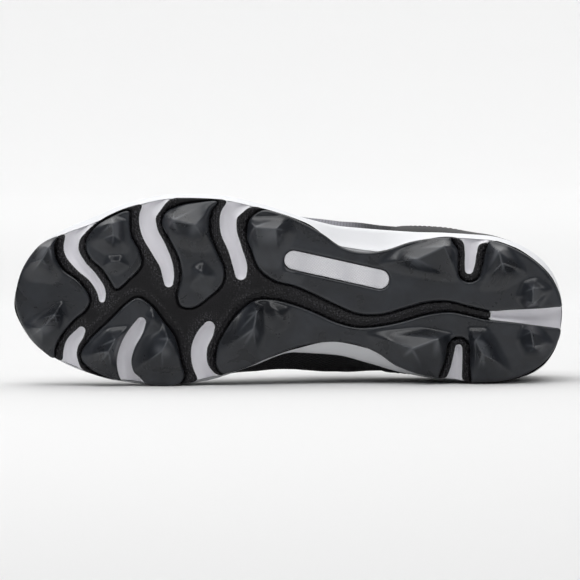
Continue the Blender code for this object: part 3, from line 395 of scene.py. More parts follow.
def slab_mesh(name, material, plan, faces, rim, front, back):
    """Solid of a filled region between its front heights and its back heights."""
    count = len(plan)
    points = np.concatenate([np.column_stack([plan, front]), np.column_stack([plan, back])])
    walls = [(b, a, a + count, b + count) for a, b in rim]
    return mesh_object(name, points, [tuple(f) for f in faces] + walls
                       + [tuple(f[::-1] + count) for f in faces], material)


CHANNELS = {                # centre line and half width, from outside the plate to the round tip
    "lateral_1": [(0.862, 0.360, 0.036), (0.887, 0.270, 0.036), (0.901, 0.209, 0.038),
                  (0.903, 0.145, 0.039), (0.885, 0.069, 0.031), (0.858, 0.003, 0.024),
                  (0.841, -0.070, 0.022), (0.839, -0.118, 0.014)],
    "lateral_2": [(0.740, 0.500, 0.046), (0.757, 0.420, 0.044), (0.768, 0.359, 0.044),
                  (0.763, 0.275, 0.044), (0.744, 0.187, 0.042), (0.727, 0.100, 0.034),
                  (0.721, 0.022, 0.026), (0.720, -0.006, 0.018)],
    "lateral_3": [(0.585, 0.510, 0.048), (0.605, 0.452, 0.046), (0.620, 0.399, 0.045),
                  (0.620, 0.319, 0.043), (0.605, 0.215, 0.036), (0.592, 0.111, 0.035),
                  (0.590, 0.062, 0.024)],
    "medial_1": [(0.874, -0.560, 0.040), (0.885, -0.465, 0.039), (0.890, -0.413, 0.036),
                 (0.887, -0.347, 0.034), (0.876, -0.296, 0.027), (0.870, -0.262, 0.017)],
    "medial_2": [(0.748, -0.600, 0.044), (0.766, -0.535, 0.042), (0.781, -0.498, 0.040),
                 (0.790, -0.423, 0.038), (0.786, -0.339, 0.037), (0.770, -0.240, 0.033),
                 (0.762, -0.186, 0.020)],
    "medial_3": [(0.610, -0.560, 0.050), (0.632, -0.485, 0.044), (0.650, -0.416, 0.040),
                 (0.655, -0.305, 0.041), (0.643, -0.218, 0.036), (0.638, -0.182, 0.022)],
    "heel_lateral": [(0.173, 0.460, 0.150), (0.175, 0.392, 0.105), (0.177, 0.350, 0.047),
                     (0.177, 0.300, 0.032), (0.177, 0.240, 0.027), (0.178, 0.187, 0.019)],
    "heel_medial": [(0.190, -0.460, 0.060), (0.189, -0.395, 0.044), (0.186, -0.310, 0.030),
                    (0.185, -0.235, 0.022), (0.185, -0.190, 0.017)],
    "heel_wedge": [(-0.040, -0.010, 0.080), (0.004, -0.010, 0.062), (0.039, -0.012, 0.047),
                   (0.077, -0.017, 0.036), (0.110, -0.021, 0.025), (0.132, -0.023, 0.018)],
}
channel_outlines = {name: ribbon(rows, blunt=0.8 if name == "heel_wedge" else 0.0)
                    for name, rows in CHANNELS.items()}


def to_channels(points):
    return np.min([distance_to(outline, points) for outline in channel_outlines.values()], axis=0)


# Pods: six raised plates of hard dark grey plastic, injection moulded, with rounded rims. Their
# studs are blades with a sharp crest and hollow flanks that run out into the plate.
PODS = {
    "toe_pod": [
        (0.928, 0.206), (0.944, 0.188), (0.964, 0.143), (0.986, 0.043), (0.996, -0.051),
        (0.998, -0.160), (0.987, -0.250), (0.966, -0.342), (0.943, -0.398), (0.919, -0.434),
        (0.918, -0.382), (0.907, -0.304), (0.887, -0.222), (0.867, -0.164), (0.862, -0.105),
        (0.885, -0.020), (0.915, 0.033), (0.931, 0.099), (0.934, 0.167)],
    "lateral_toe_side_pod": [
        (0.803, 0.370), (0.839, 0.323), (0.865, 0.260), (0.877, 0.176), (0.867, 0.110),
        (0.843, 0.054), (0.827, -0.003), (0.815, -0.043), (0.793, 0.014), (0.773, 0.093),
        (0.778, 0.161), (0.795, 0.237), (0.801, 0.315)],
    "lateral_ball_pod": [
        (0.644, 0.456), (0.676, 0.447), (0.712, 0.420), (0.735, 0.380), (0.741, 0.321),
        (0.726, 0.245), (0.707, 0.156), (0.698, 0.071), (0.702, -0.057), (0.694, -0.105),
        (0.672, -0.106), (0.645, -0.044), (0.624, 0.026), (0.623, 0.110), (0.640, 0.203),
        (0.655, 0.305), (0.654, 0.406)],
    "medial_ball_pod": [
        (0.869, -0.392), (0.857, -0.328), (0.824, -0.219), (0.789, -0.104), (0.774, -0.079),
        (0.752, -0.109), (0.726, -0.189), (0.701, -0.275), (0.687, -0.399), (0.679, -0.476),
        (0.690, -0.518), (0.741, -0.529), (0.775, -0.526), (0.815, -0.509), (0.851, -0.473),
        (0.868, -0.425)],
}
Band = namedtuple("Band", "along inner outer")
BANDS = {
    "medial_shank_pod": [
        Band(0.003, -0.068, -0.110), Band(0.015, -0.062, -0.195), Band(0.030, -0.060, -0.254),
        Band(0.060, -0.055, -0.317), Band(0.100, -0.049, -0.362), Band(0.140, -0.047, -0.379),
        Band(0.175, -0.032, -0.381), Band(0.210, -0.025, -0.376), Band(0.250, -0.050, -0.364),
        Band(0.290, -0.094, -0.333), Band(0.330, -0.128, -0.272), Band(0.370, -0.145, -0.233),
        Band(0.410, -0.128, -0.230), Band(0.450, -0.087, -0.248), Band(0.490, -0.053, -0.285),
        Band(0.530, -0.034, -0.343), Band(0.560, -0.045, -0.391), Band(0.590, -0.120, -0.428),
        Band(0.610, -0.215, -0.440), Band(0.622, -0.300, -0.405)],
    "lateral_shank_pod": [
        Band(0.004, 0.052, 0.068), Band(0.015, 0.046, 0.140), Band(0.030, 0.038, 0.205),
        Band(0.060, 0.026, 0.280), Band(0.100, 0.012, 0.338), Band(0.130, 0.000, 0.362),
        Band(0.170, 0.015, 0.370), Band(0.210, 0.034, 0.368), Band(0.250, 0.020, 0.355),
        Band(0.290, -0.022, 0.325), Band(0.330, -0.063, 0.276), Band(0.370, -0.071, 0.252),
        Band(0.410, -0.038, 0.269), Band(0.450, 0.007, 0.334), Band(0.490, 0.047, 0.385),
        Band(0.530, 0.069, 0.422), Band(0.560, 0.130, 0.430), Band(0.575, 0.219, 0.405),
        Band(0.584, 0.275, 0.365)],
}
NOTCHES = {
    "lateral_shank_pod": [
        (0.174, 0.480, 0.160), (0.178, 0.375, 0.112), (0.176, 0.324, 0.080), (0.176, 0.238, 0.066),
        (0.177, 0.190, 0.062), (0.178, 0.144, 0.059)],
    "medial_shank_pod": [
        (0.188, -0.480, 0.096), (0.187, -0.379, 0.088), (0.185, -0.284, 0.068),
        (0.185, -0.215, 0.062), (0.185, -0.152, 0.058)],
}
Stud = namedtuple("Stud", "crest_1 crest_2 tall foot")      # crest ends, height, foot's corners
STUDS = {
    "toe_pod": [
        Stud((0.954, 0.081), (0.942, 0.152), 1.0, [(0.974, -0.014), (0.924, -0.013),
             (0.916, 0.105), (0.934, 0.190), (0.969, 0.145), (0.988, 0.045)]),
        Stud((0.944, -0.277), (0.922, -0.203), 1.0, [(0.915, -0.143), (0.904, -0.220),
             (0.912, -0.328), (0.939, -0.400), (0.968, -0.345), (0.974, -0.268)])],
    "lateral_toe_side_pod": [
        Stud((0.830, 0.305), (0.827, 0.243), 1.0, [(0.866, 0.196), (0.859, 0.278),
             (0.835, 0.335), (0.803, 0.312), (0.797, 0.186), (0.829, 0.147)]),
        Stud((0.828, 0.099), (0.812, 0.103), 0.35, [(0.840, 0.070), (0.817, 0.033),
             (0.798, 0.085), (0.813, 0.145), (0.833, 0.135)])],
    "lateral_ball_pod": [
        Stud((0.721, 0.347), (0.680, 0.329), 1.0, [(0.738, 0.364), (0.716, 0.417),
             (0.653, 0.450), (0.653, 0.336), (0.657, 0.213), (0.695, 0.210), (0.730, 0.265)]),
        Stud((0.663, 0.090), (0.660, 0.059), 0.4, [(0.681, 0.012), (0.649, -0.018),
             (0.638, 0.069), (0.662, 0.133), (0.678, 0.102)])],
    "medial_ball_pod": [
        Stud((0.809, -0.304), (0.819, -0.370), 1.0, [(0.862, -0.391), (0.843, -0.481),
             (0.808, -0.505), (0.789, -0.363), (0.789, -0.247), (0.825, -0.265)]),
        Stud((0.713, -0.277), (0.722, -0.342), 1.0, [(0.765, -0.442), (0.714, -0.510),
             (0.689, -0.393), (0.696, -0.299), (0.724, -0.210), (0.754, -0.302)]),
        Stud((0.744, -0.167), (0.743, -0.199), 0.4, [(0.759, -0.261), (0.721, -0.262),
             (0.727, -0.174), (0.747, -0.125), (0.758, -0.181)])],
    "medial_shank_pod": [
        Stud((0.556, -0.097), (0.559, -0.193), 1.0, [(0.616, -0.323), (0.594, -0.387),
             (0.549, -0.366), (0.539, -0.252), (0.546, -0.084), (0.570, -0.063), (0.593, -0.159)]),
        Stud((0.522, -0.084), (0.513, -0.124), 0.4, [(0.536, -0.050), (0.496, -0.073),
             (0.501, -0.164), (0.528, -0.197), (0.543, -0.115)]),
        Stud((0.270, -0.227), (0.224, -0.163), 1.05, [(0.340, -0.169), (0.256, -0.128),
             (0.208, -0.144), (0.212, -0.325), (0.231, -0.372), (0.293, -0.312)]),
        Stud((0.156, -0.153), (0.142, -0.223), 1.05, [(0.167, -0.113), (0.136, -0.106),
             (0.103, -0.215), (0.088, -0.291), (0.132, -0.372), (0.152, -0.364), (0.164, -0.218)]),
        Stud((0.057, -0.087), (0.050, -0.165), 1.0, [(0.069, -0.064), (0.049, -0.050),
             (0.019, -0.142), (0.034, -0.199), (0.063, -0.211), (0.079, -0.146)])],
    "lateral_shank_pod": [
        Stud((0.571, 0.344), (0.534, 0.342), 1.0, [(0.585, 0.380), (0.519, 0.405),
             (0.506, 0.328), (0.527, 0.164), (0.554, 0.157), (0.583, 0.278)]),
        Stud((0.500, 0.181), (0.499, 0.149), 0.4, [(0.516, 0.098), (0.484, 0.073),
             (0.475, 0.155), (0.498, 0.229), (0.515, 0.193)]),
        Stud((0.274, 0.244), (0.227, 0.323), 1.05, [(0.328, 0.210), (0.311, 0.272),
             (0.233, 0.360), (0.206, 0.323), (0.202, 0.154), (0.228, 0.159), (0.287, 0.172)]),
        Stud((0.127, 0.320), (0.120, 0.258), 1.05, [(0.147, 0.350), (0.112, 0.340),
             (0.077, 0.226), (0.108, 0.150), (0.155, 0.133), (0.151, 0.251)]),
        Stud((0.060, 0.140), (0.058, 0.061), 1.0, [(0.075, 0.157), (0.055, 0.178),
             (0.027, 0.132), (0.044, 0.055), (0.070, 0.040), (0.086, 0.086)])],
}
HOLLOW = 1.9                # power that makes the flanks of a stud hollow
SOFTNESS = 11.0             # how fast its edges, crisp at the crest, melt away towards the foot
SPREAD = 0.30               # how much further than its foot's corners a stud runs out
RIM = 1.1 * MM              # radius of a pod's rim
INLAY_FROM, INLAY_TO, INLAY_HALF = (0.497, 0.182), (0.338, 0.118), 5.2 * MM


def stud_height(points, stud):
    """Height of a stud over the pod, the roof over its crest and foot hollowed, and how near a place is
    to one of its crest lines, where a highlight is painted."""
    plan = np.array([stud.crest_1, stud.crest_2] + stud.foot) * (LENGTH, BALL_WIDTH)
    plan[2:] += (plan[2:] - plan[:2].mean(axis=0)) * SPREAD
    level = np.array([1.0, 1.0] + [0.0] * len(stud.foot))
    planes = {(0.0, 0.0, 1.0)}
    count = len(plan)
    middle = plan[:2].mean(axis=0)
    for i in range(count):
        for j in range(i + 1, count):
            for k in range(j + 1, count):
                if level[[i, j, k]].sum() in (0.0, 3.0):
                    continue
                corner = np.column_stack([plan[[i, j, k]], np.ones(3)])
                if abs(np.linalg.det(corner)) < 1e-9:
                    continue
                plane = np.linalg.solve(corner, level[[i, j, k]])
                over = plan @ plane[:2] + plane[2] - level
                if over.min() > -0.02 and middle @ plane[:2] + plane[2] > 0.9:
                    planes.add(tuple(np.round(plane, 2)))
    table = np.array(sorted(planes))
    levels = points @ table[:, :2].T + table[:, 2]
    crisp = levels.min(axis=1)
    soft = crisp - np.log(np.exp(-SOFTNESS * (levels - crisp[:, None])).sum(axis=1)) / SOFTNESS
    is_tall = 1.0 if stud.tall > 0.5 else 0.0         # low studs are soft all over and get no painted highlight
    near_crest = is_tall * ease((crisp - 0.40) / 0.40)
    best = soft + (crisp - soft) * near_crest
    second = np.partition(levels, 1, axis=1)[:, 1]
    # Painted highlight: a thin pale line along the crests of the tall studs, which the pods' material
    # mixes into their colour.
    wear_and_highlight = 0.6 * is_tall * (1 - ease((second - crisp) / 0.05)) * ease((crisp - 0.55) / 0.35)
    return STUD * stud.tall * np.clip(best, 0, 1) ** HOLLOW, wear_and_highlight


def capsule_distance(points, half):
    """Distance of plan points from the inlay's oblong, minus inside it."""
    a, b = (np.array(end) * (LENGTH, BALL_WIDTH) for end in (INLAY_FROM, INLAY_TO))
    t = np.clip(((points - a) @ (b - a)) / ((b - a) @ (b - a)), 0, 1)
    return np.linalg.norm(points - a - t[:, None] * (b - a), axis=1) - half


# Moulded satin dark grey plastic: cloudy in colour and polish, so that its facets catch the light
# unevenly, with a painted highlight, pale grey, along the crests of the tall studs.
pod_plastic, tree = new_material("moulded satin dark grey plastic")
place = node(tree, "TexCoord", output="Object")
cloudy = node(tree, "TexNoise", {"Vector": place, "Scale": 55.0, "Detail": 5.0,
                                 "Roughness": 0.6, "Distortion": 0.6})
tint = node(tree, "ValToRGB", {"Fac": cloudy}, stops=[(0.35, "1f2125"), (0.68, "2e3137")])
# Painted highlight: the colour turns pale grey along the studs' crest lines.
edge_light = node(tree, "Attribute", output="Fac", attribute_name="painted_crest_highlight")
node(tree, "Mix", {"Factor": edge_light, 6: tint, 7: linear("66696e")}, output=2,
     into="Base Color", data_type="RGBA")
node(tree, "MapRange", {"Value": cloudy, "To Min": 0.20, "To Max": 0.38}, into="Roughness")
grain = node(tree, "TexNoise", {"Vector": place, "Scale": 3200.0, "Detail": 2.0})
swirl = node(tree, "TexNoise", {"Vector": place, "Scale": 210.0, "Detail": 3.0})
fine = node(tree, "Bump", {"Height": grain, "Strength": 0.10, "Distance": 0.1 * MM})
node(tree, "Bump", {"Height": swirl, "Strength": 0.16, "Distance": 0.6 * MM,
                    "Normal": fine}, into="Normal")

pod_outlines = {name: closed_curve(corners) for name, corners in PODS.items()}
for name, rows in BANDS.items():
    pod_outlines[name] = closed_curve([(row.along, row.inner) for row in rows]
                                      + [(row.along, row.outer) for row in reversed(rows)])
pod_cuts = {name: ribbon(rows) for name, rows in NOTCHES.items()}
pod_cuts["medial_ball_pod"] = channel_outlines["medial_2"]


def to_pod(name, points, pocket=False):
    """Distance from a pod, minus inside it, and with a pocket for the inlay if asked."""
    away_from = distance_to(pod_outlines[name], points)
    if name in pod_cuts:
        away_from = np.maximum(away_from, -distance_to(pod_cuts[name], points))
    if pocket and name == "lateral_shank_pod":
        away_from = np.maximum(away_from, -capsule_distance(points, INLAY_HALF + GAP))
    return away_from


def rounded(depth, radius):
    """How far a rim has dropped away at a distance inside its edge."""
    t = np.clip(1 - depth / radius, 0, 1)
    return radius * (1 - np.sqrt(1 - t * t))


def paint(thing, name, values):
    """Gives a piece's points a value that its material reads."""
    thing.data.attributes.new(name, "FLOAT", "POINT").data.foreach_set("value", values)


def hand_in(thing, replaced=None):
    """Hides the CAD part that a finished piece replaces, if any, and attaches the piece to the root
    body.
    """
    if replaced:
        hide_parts(replaced)
    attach(thing, "root")


for name, outline in pod_outlines.items():
    plan, faces, rim = fill_region(lambda points: to_pod(name, points, pocket=True), outline,
                                   0.55 * MM, [0.15 * MM, 0.45 * MM])
    depth = -to_pod(name, plan, pocket=True)
    height, edges = np.zeros(len(plan)), np.zeros(len(plan))
    for stud in STUDS[name]:
        tall, wear_and_highlight = stud_height(plan, stud)
        height, edges = np.maximum(height, tall), np.maximum(edges, wear_and_highlight)
    height *= ease(depth / (2.2 * MM)) * 0.55 + 0.45      # lower where a stud meets the rim
    base = plate_height(plan[:, 0])
    pod = slab_mesh(name + "_moulded", pod_plastic, plan, faces, rim,
                    base - height + rounded(depth, RIM), base + POD)
    # The crest lines' painted highlight goes on the ground-facing side only.
    paint(pod, "painted_crest_highlight", np.concatenate([edges, 0 * edges]))
    hand_in(pod, name)


# Web: the black flexible plate that the pods are moulded on. It stands up in bands round the
# pods and channels, pebbled near the channels and smoother in the middle.
BAND_DEEP = 0.7 * MM                  # bands below the pods' surface
GROOVE = 0.95 * MM                    # open groove round a pod
GROOVE_FLOOR = WEB_LOW + 0.5 * MM     # its floor below the pods' surface


def to_pods(points):
    return np.min([to_pod(name, points) for name in pod_outlines], axis=0)


def round_turns(count):
    """Turns all the way round the sole, the inner side first."""
    return np.concatenate([np.linspace(0.0, math.pi, count), -np.linspace(math.pi, 0.0, count)[1:-1]])


def every(points, step, count):
    """Marks the few points of a grid that are kept where nothing shows."""
    return (np.round(points / step).astype(int) % count == 0).all(axis=1)


plate_outline = edge_points("plate", round_turns(200))


def to_web(points, corner=3.5 * MM):
    """Distance from the web, whose corners at the mouths of the channels are rounded."""
    a, b = distance_to(plate_outline, points), -to_channels(points)
    web = np.maximum(a, b) + np.maximum(corner - np.abs(a - b), 0) ** 2 / (4 * corner)
    share, across = points[:, 0] / LENGTH, points[:, 1] / BALL_WIDTH
    outer_waist = (share > 0.30) & (share < 0.45) & (across > 0.15)     # hidden by the pod here
    return np.where(outer_waist, np.maximum(web, to_pod("lateral_shank_pod", points) + 0.5 * MM), web)


# Pebbled black plastic: near the channels the pebble tops get a painted highlight that breaks up the
# black, and the middle of the plate stays plain and duller.
web_plastic, tree = new_material("pebbled black plastic", Specular_IOR_Level=0.3)
place = node(tree, "TexCoord", output="Object")
near = node(tree, "Attribute", output="Fac", attribute_name="near_channel")
pebble = node(tree, "TexVoronoi", {"Vector": place, "Scale": 760.0, "Randomness": 0.7})
shade = node(tree, "TexNoise", {"Vector": place, "Scale": 60.0, "Detail": 4.0})
tint = node(tree, "ValToRGB", {"Fac": shade}, stops=[(0.3, "0b0a0d"), (0.7, "141317")])
tops = node(tree, "MapRange", {"Value": pebble, "From Min": 0.05, "From Max": 0.36,
                               "To Min": 0.9, "To Max": 0.0})
# Painted highlight: the pebble tops turn pale grey where the plate is near a channel.
painted_pebble_highlight = node(tree, "Math", {0: tops, 1: near}, operation="MULTIPLY")
node(tree, "Mix", {"Factor": painted_pebble_highlight, 6: tint, 7: linear("504f56")}, output=2,
     into="Base Color", data_type="RGBA")
strength = node(tree, "MapRange", {"Value": near, "To Min": 0.22, "To Max": 1.0})
node(tree, "Bump", {"Height": pebble, "Distance": 0.9 * MM, "Strength": strength},
     into="Normal", invert=True)
node(tree, "MapRange", {"Value": near, "To Min": 0.56, "To Max": 0.40}, into="Roughness")

plan, faces, rim = fill_region(
    to_web, plate_outline, 0.6 * MM, [0.2 * MM, 0.5 * MM],
    keep=lambda points: (to_pods(points) > -0.6 * MM) | every(points, 0.6 * MM, 4))
gap_out, depth, channel_near = to_pods(plan), -to_web(plan), to_channels(plan)
standing = ease((gap_out - GROOVE * 0.75) / (0.4 * MM))
crown = 0.5 * MM * (1 - ease(gap_out / (4 * MM)))
from_inner_pods = np.minimum(to_pod("medial_ball_pod", plan), to_pod("medial_shank_pod", plan))
bead = np.exp(-((from_inner_pods - 4.2 * MM) / (1.4 * MM)) ** 2)    # raised round the inner pods
band = BAND_DEEP + crown - 0.45 * MM * bead + rounded(depth, 0.9 * MM)
base = plate_height(plan[:, 0])
web = slab_mesh("web_plate_moulded", web_plastic, plan, faces, rim,
                base + GROOVE_FLOOR + standing * (band - GROOVE_FLOOR), base + WEB_LOW + WEB)
# near_channel also says where the pebble tops get their painted highlight.
paint(web, "near_channel", np.tile(np.max([
    1 - ease((channel_near - 2.5 * MM) / (5 * MM)), 0.9 * bead,
    0.45 * ease((0.64 - plan[:, 0] / LENGTH) / 0.05)], axis=0), 2))
hand_in(web, "web_plate")


# Inlay: a plain oblong of light grey plastic let into the outer shank pod, with a fine
# woven-looking grain moulded on its face, which keeps the light panel from glaring.
inlay_plastic, tree = new_material("grained light grey plastic", Roughness=0.5)
place = node(tree, "TexCoord", output="Object")
turned = node(tree, "Mapping", {"Vector": place, "Rotation": (0, math.radians(52), 0)})
scales = node(tree, "TexVoronoi", {"Vector": turned, "Scale": 900.0, "Randomness": 0.15})
node(tree, "ValToRGB", {"Fac": scales}, stops=[(0.1, "f2f2f5"), (0.75, "cfcfd5")], into="Base Color")
node(tree, "Bump", {"Height": scales, "Strength": 0.7, "Distance": 0.3 * MM},
     into="Normal", invert=True)

ends = np.array([INLAY_FROM, INLAY_TO]) * (LENGTH, BALL_WIDTH)
plan, faces, rim = fill_region(lambda points: capsule_distance(points, INLAY_HALF), ends, 0.6 * MM,
                               [0.2 * MM, 0.5 * MM], margin=2 * INLAY_HALF)
base = plate_height(plan[:, 0])
inlay = slab_mesh("shank_inlay_moulded", inlay_plastic, plan, faces, rim,
                  base + 0.35 * MM + rounded(-capsule_distance(plan, INLAY_HALF), 0.6 * MM),
                  base + 1.0 * MM)
hand_in(inlay, "shank_inlay")


# Midsole: white moulded foam, seen as hollow channels between the pods, a rim all round the
# plates, and high bare walls at the waist.
TURNS_FINE = round_turns(181)


def foam_ring(level, blend, inset):
    low = ring_points("plate", TURNS_FINE, np.full(len(TURNS_FINE), 0.4 * MM))
    high = ring_points("foam", TURNS_FINE, np.full(len(TURNS_FINE), inset))
    plan = low + (high - low) * blend
    base = plate_height(plan[:, 0]) + FOAM_LOW
    return np.column_stack([plan, base + (footbed_height(plan[:, 0]) - base) * level])


def ring_faces(index, flip=False):
    """Faces between rings of points, given as rows of their numbers, and across the last ring."""
    after = np.roll(index, -1, axis=1)
    quads = np.stack([after[:-1], index[:-1], index[1:], after[1:]], -1).reshape(-1, 4)
    last, count = index[-1], index.shape[1]
    return [tuple(q) for q in (quads[:, ::-1] if flip else quads)] + [
        (last[i], last[i + 1], last[count - i - 1], last[(count - i) % count])
        for i in range(count // 2)]


# Matte white moulded foam: a little light enters it and its skin is slightly wavy, so that the
# walls shade softly.
foam, tree = new_material("matte white moulded foam", Roughness=0.55, Subsurface_Weight=0.05,
                          Subsurface_Radius=(0.002, 0.002, 0.002))
place = node(tree, "TexCoord", output="Object")
deep = node(tree, "Attribute", output="Fac", attribute_name="channel_floor")
node(tree, "ValToRGB", {"Fac": deep}, stops=[(0.0, "e8e9ec"), (1.0, "e9e8ed")], into="Base Color")
skin = node(tree, "TexNoise", {"Vector": place, "Scale": 1500.0, "Detail": 2.0})
waves = node(tree, "TexNoise", {"Vector": place, "Scale": 120.0, "Detail": 2.0})
fine = node(tree, "Bump", {"Height": skin, "Strength": 0.15, "Distance": 0.1 * MM})
node(tree, "Bump", {"Height": waves, "Strength": 0.12, "Distance": 0.8 * MM,
                    "Normal": fine}, into="Normal")

LEVELS = np.linspace(0, 1, 17)
blends = smooth([0.0, 0.22, 0.48, 0.70, 0.88, 1.0], [0.0, 0.22, 0.62, 0.95, 1.0, 1.0], LEVELS)
insets = 0.9 * MM * ease((LEVELS - 0.86) / 0.14)
rings = [foam_ring(level, blend, inset) for level, blend, inset in zip(LEVELS, blends, insets)]
bottom_outline = rings[0][:, :2]
plan, faces, _ = fill_region(
    lambda points: distance_to(bottom_outline, points) + 0.25 * MM, bottom_outline, 0.7 * MM,
    [0.3 * MM], keep=lambda points: (to_channels(points) < 2 * MM) | every(points, 0.7 * MM, 5))
in_channel = -to_channels(plan)
dip = 2.3 * MM * ease(in_channel / (4.2 * MM)) - 2.6 * MM * (1 - ease(in_channel / (1.2 * MM))) * (
    in_channel > -1.0 * MM)               # hollow in the channels, with a lip up to the plates
points = [np.column_stack([plan, plate_height(plan[:, 0]) + FOAM_LOW + dip])]
index = len(plan) + np.arange(len(rings) * len(TURNS_FINE)).reshape(len(rings), -1)
midsole = mesh_object("midsole_foam", np.concatenate(points + rings),
                      [tuple(f) for f in faces] + ring_faces(index), foam)
paint(midsole, "channel_floor", np.concatenate([
    ease((in_channel + 0.5 * MM) / (1.5 * MM)), np.zeros(index.size)]))
hand_in(midsole, "midsole")


# Upper: an engineered knit skin over the last, doubled at the throat and rolled over a padded
# collar at the ankle. The outer skin and the lining meet at the rolled edge.
INSTEP, WALL, INSOLE, TONGUE, OVERLAY = 80 * MM, 2.0 * MM, 3.5 * MM, 4.0 * MM, 1.0 * MM
HEEL_LEAN, THROAT_END, COLLAR_FRONT = 0.07, 0.672, 0.385
PAD_OUT, PAD_IN = 1.2 * MM, 3.0 * MM       # how far the collar's pad swells on either side
Section = namedtuple("Section", "along top edge square ridge belly_medial belly_lateral")
SECTIONS = [
    Section(0.00, 1.02, 0.835, 3.0, 0.000, 0.006, 0.006),
    Section(0.05, 1.02, 0.82, 3.0, 0.000, 0.002, 0.000),
    Section(0.10, 1.00, 0.765, 3.0, 0.000, 0.002, 0.000),
    Section(0.16, 0.98, 0.71, 3.0, 0.000, 0.002, 0.008),
    Section(0.22, 0.97, 0.70, 3.0, 0.000, 0.004, 0.026),
    Section(0.28, 0.97, 0.750, 3.0, 0.010, 0.020, 0.034),
    Section(0.34, 0.985, 0.870, 2.9, 0.018, 0.075, 0.037),
    Section(0.385, 1.00, 0.950, 2.8, 0.022, 0.120, 0.044),
    Section(0.43, 0.955, 0.966, 2.6, 0.024, 0.134, 0.042),
    Section(0.49, 0.855, 0.966, 2.5, 0.026, 0.130, 0.018),
    Section(0.55, 0.755, 0.967, 2.4, 0.028, 0.075, 0.002),
    Section(0.61, 0.660, 0.972, 2.4, 0.030, 0.020, 0.000),
    Section(0.655, 0.595, 0.984, 2.4, 0.032, 0.000, 0.000),
    Section(0.68, 0.560, 1.000, 2.4, 0.032, 0.000, 0.000),
    Section(0.74, 0.495, 1.000, 2.4, 0.030, 0.000, 0.000),
    Section(0.81, 0.430, 1.000, 2.4, 0.024, 0.000, 0.000),
    Section(0.88, 0.375, 1.000, 2.4, 0.016, 0.000, 0.000),
    Section(0.94, 0.320, 1.000, 2.5, 0.008, 0.000, 0.000),
    Section(0.98, 0.250, 1.000, 2.6, 0.000, 0.000, 0.000),
    Section(1.00, 0.160, 1.000, 2.8, 0.000, 0.000, 0.000),
]
section_angles = angle_of(column(SECTIONS, "along"))


def section(name, angle):
    return smooth(section_angles, column(SECTIONS, name), angle)


def last_surface(turn, rise):
    """Points of the last. The rise runs 0 at the footbed to pi/2 at the ridge, and past it
    comes down the other side."""
    turn, rise = np.broadcast_arrays(np.asarray(turn, float), np.asarray(rise, float))
    over = rise > math.pi / 2
    turn = wrapped(np.where(over, -turn, turn))
    rise = np.where(over, math.pi - rise, rise)
    angle = np.abs(turn)
    side = np.where(turn >= 0, 1.0, -1.0)
    square = section("square", angle)
    turn_safe = np.where(angle > 1e-6, turn, 1e-6)
    inset = np.full(turn_safe.shape, LEDGE)
    own, other = ring_points("foam", turn_safe, inset), ring_points("foam", -turn_safe, inset)
    centre, half = (own + other) / 2, (own - other) / 2
    reach = (np.abs(np.cos(rise)) ** square + np.abs(np.sin(rise)) ** square) ** (1 / square)
    out, up = np.cos(rise) / reach, np.sin(rise) / reach
    belly = np.where(side > 0, section("belly_medial", angle), section("belly_lateral", angle))
    bulge = BALL_WIDTH * belly * np.sin(math.pi * np.clip(up, 0, 1) ** 0.8) * out
    plan = centre + half * out[..., None] + edge_normals("foam", turn_safe) * bulge[..., None]
    share = share_of(angle)
    x = plan[..., 0] + BALL_WIDTH * HEEL_LEAN * (1 - share) ** 8 * up ** 2
    y = plan[..., 1] - BALL_WIDTH * section("ridge", angle) * up ** 2
    z = footbed_height(LENGTH * share) + GAP + INSTEP * section("top", angle) * up
    return np.stack([x, y, z], -1)


def last_frame(turn, rise):
    """Points of the last with their outward and upward directions."""
    turn, rise = np.broadcast_arrays(np.asarray(turn, float), np.asarray(rise, float))
    step = 0.02
    along = last_surface(wrapped(turn + step), rise) - last_surface(wrapped(turn - step), rise)
    flat = np.linalg.norm(along, axis=-1) < 1e-6
    plan = edge_normals("foam", np.where(np.abs(turn) > 1e-6, turn, 1e-6))
    along[flat] = np.stack([-plan[..., 1], plan[..., 0], 0 * plan[..., 0]], -1)[flat]
    up = last_surface(turn, rise + step) - last_surface(turn, np.maximum(rise - step, 0.0))
    lower = last_surface(turn, rise) - last_surface(turn, np.maximum(rise - step, 0.0))
    up = np.where((np.linalg.norm(up, axis=-1) < 1e-6)[..., None], lower, up)
    normal = unit(np.cross(along, up))
    up /= np.maximum(np.linalg.norm(up, axis=-1, keepdims=True), 1e-9)
    return last_surface(turn, rise), normal, up


def last_points(turn, rise, out):
    point, normal, _ = last_frame(turn, rise)
    return point + np.broadcast_to(np.asarray(out, float), point.shape[:-1])[..., None] * normal


def edge_rise(angle):
    """Rise at which the collar or throat opening begins."""
    angle = np.asarray(angle, float)
    edge = np.minimum(section("edge", angle), 0.9995)
    square = section("square", angle)
    rise = np.arctan2(edge, (1 - edge ** square) ** (1 / square))
    return np.where(angle > angle_of(THROAT_END) - 1e-6, math.pi / 2,
                    np.minimum(rise, math.pi / 2 - 0.05))


def padding(turn, rise):
    """How far the collar's pad swells at a place, 0 to 1."""
    angle = np.abs(turn)
    below = (edge_rise(angle) - rise) * INSTEP
    return (1 - ease((share_of(angle) - 0.30) / 0.08)) * np.exp(-(below / (11 * MM)) ** 2)


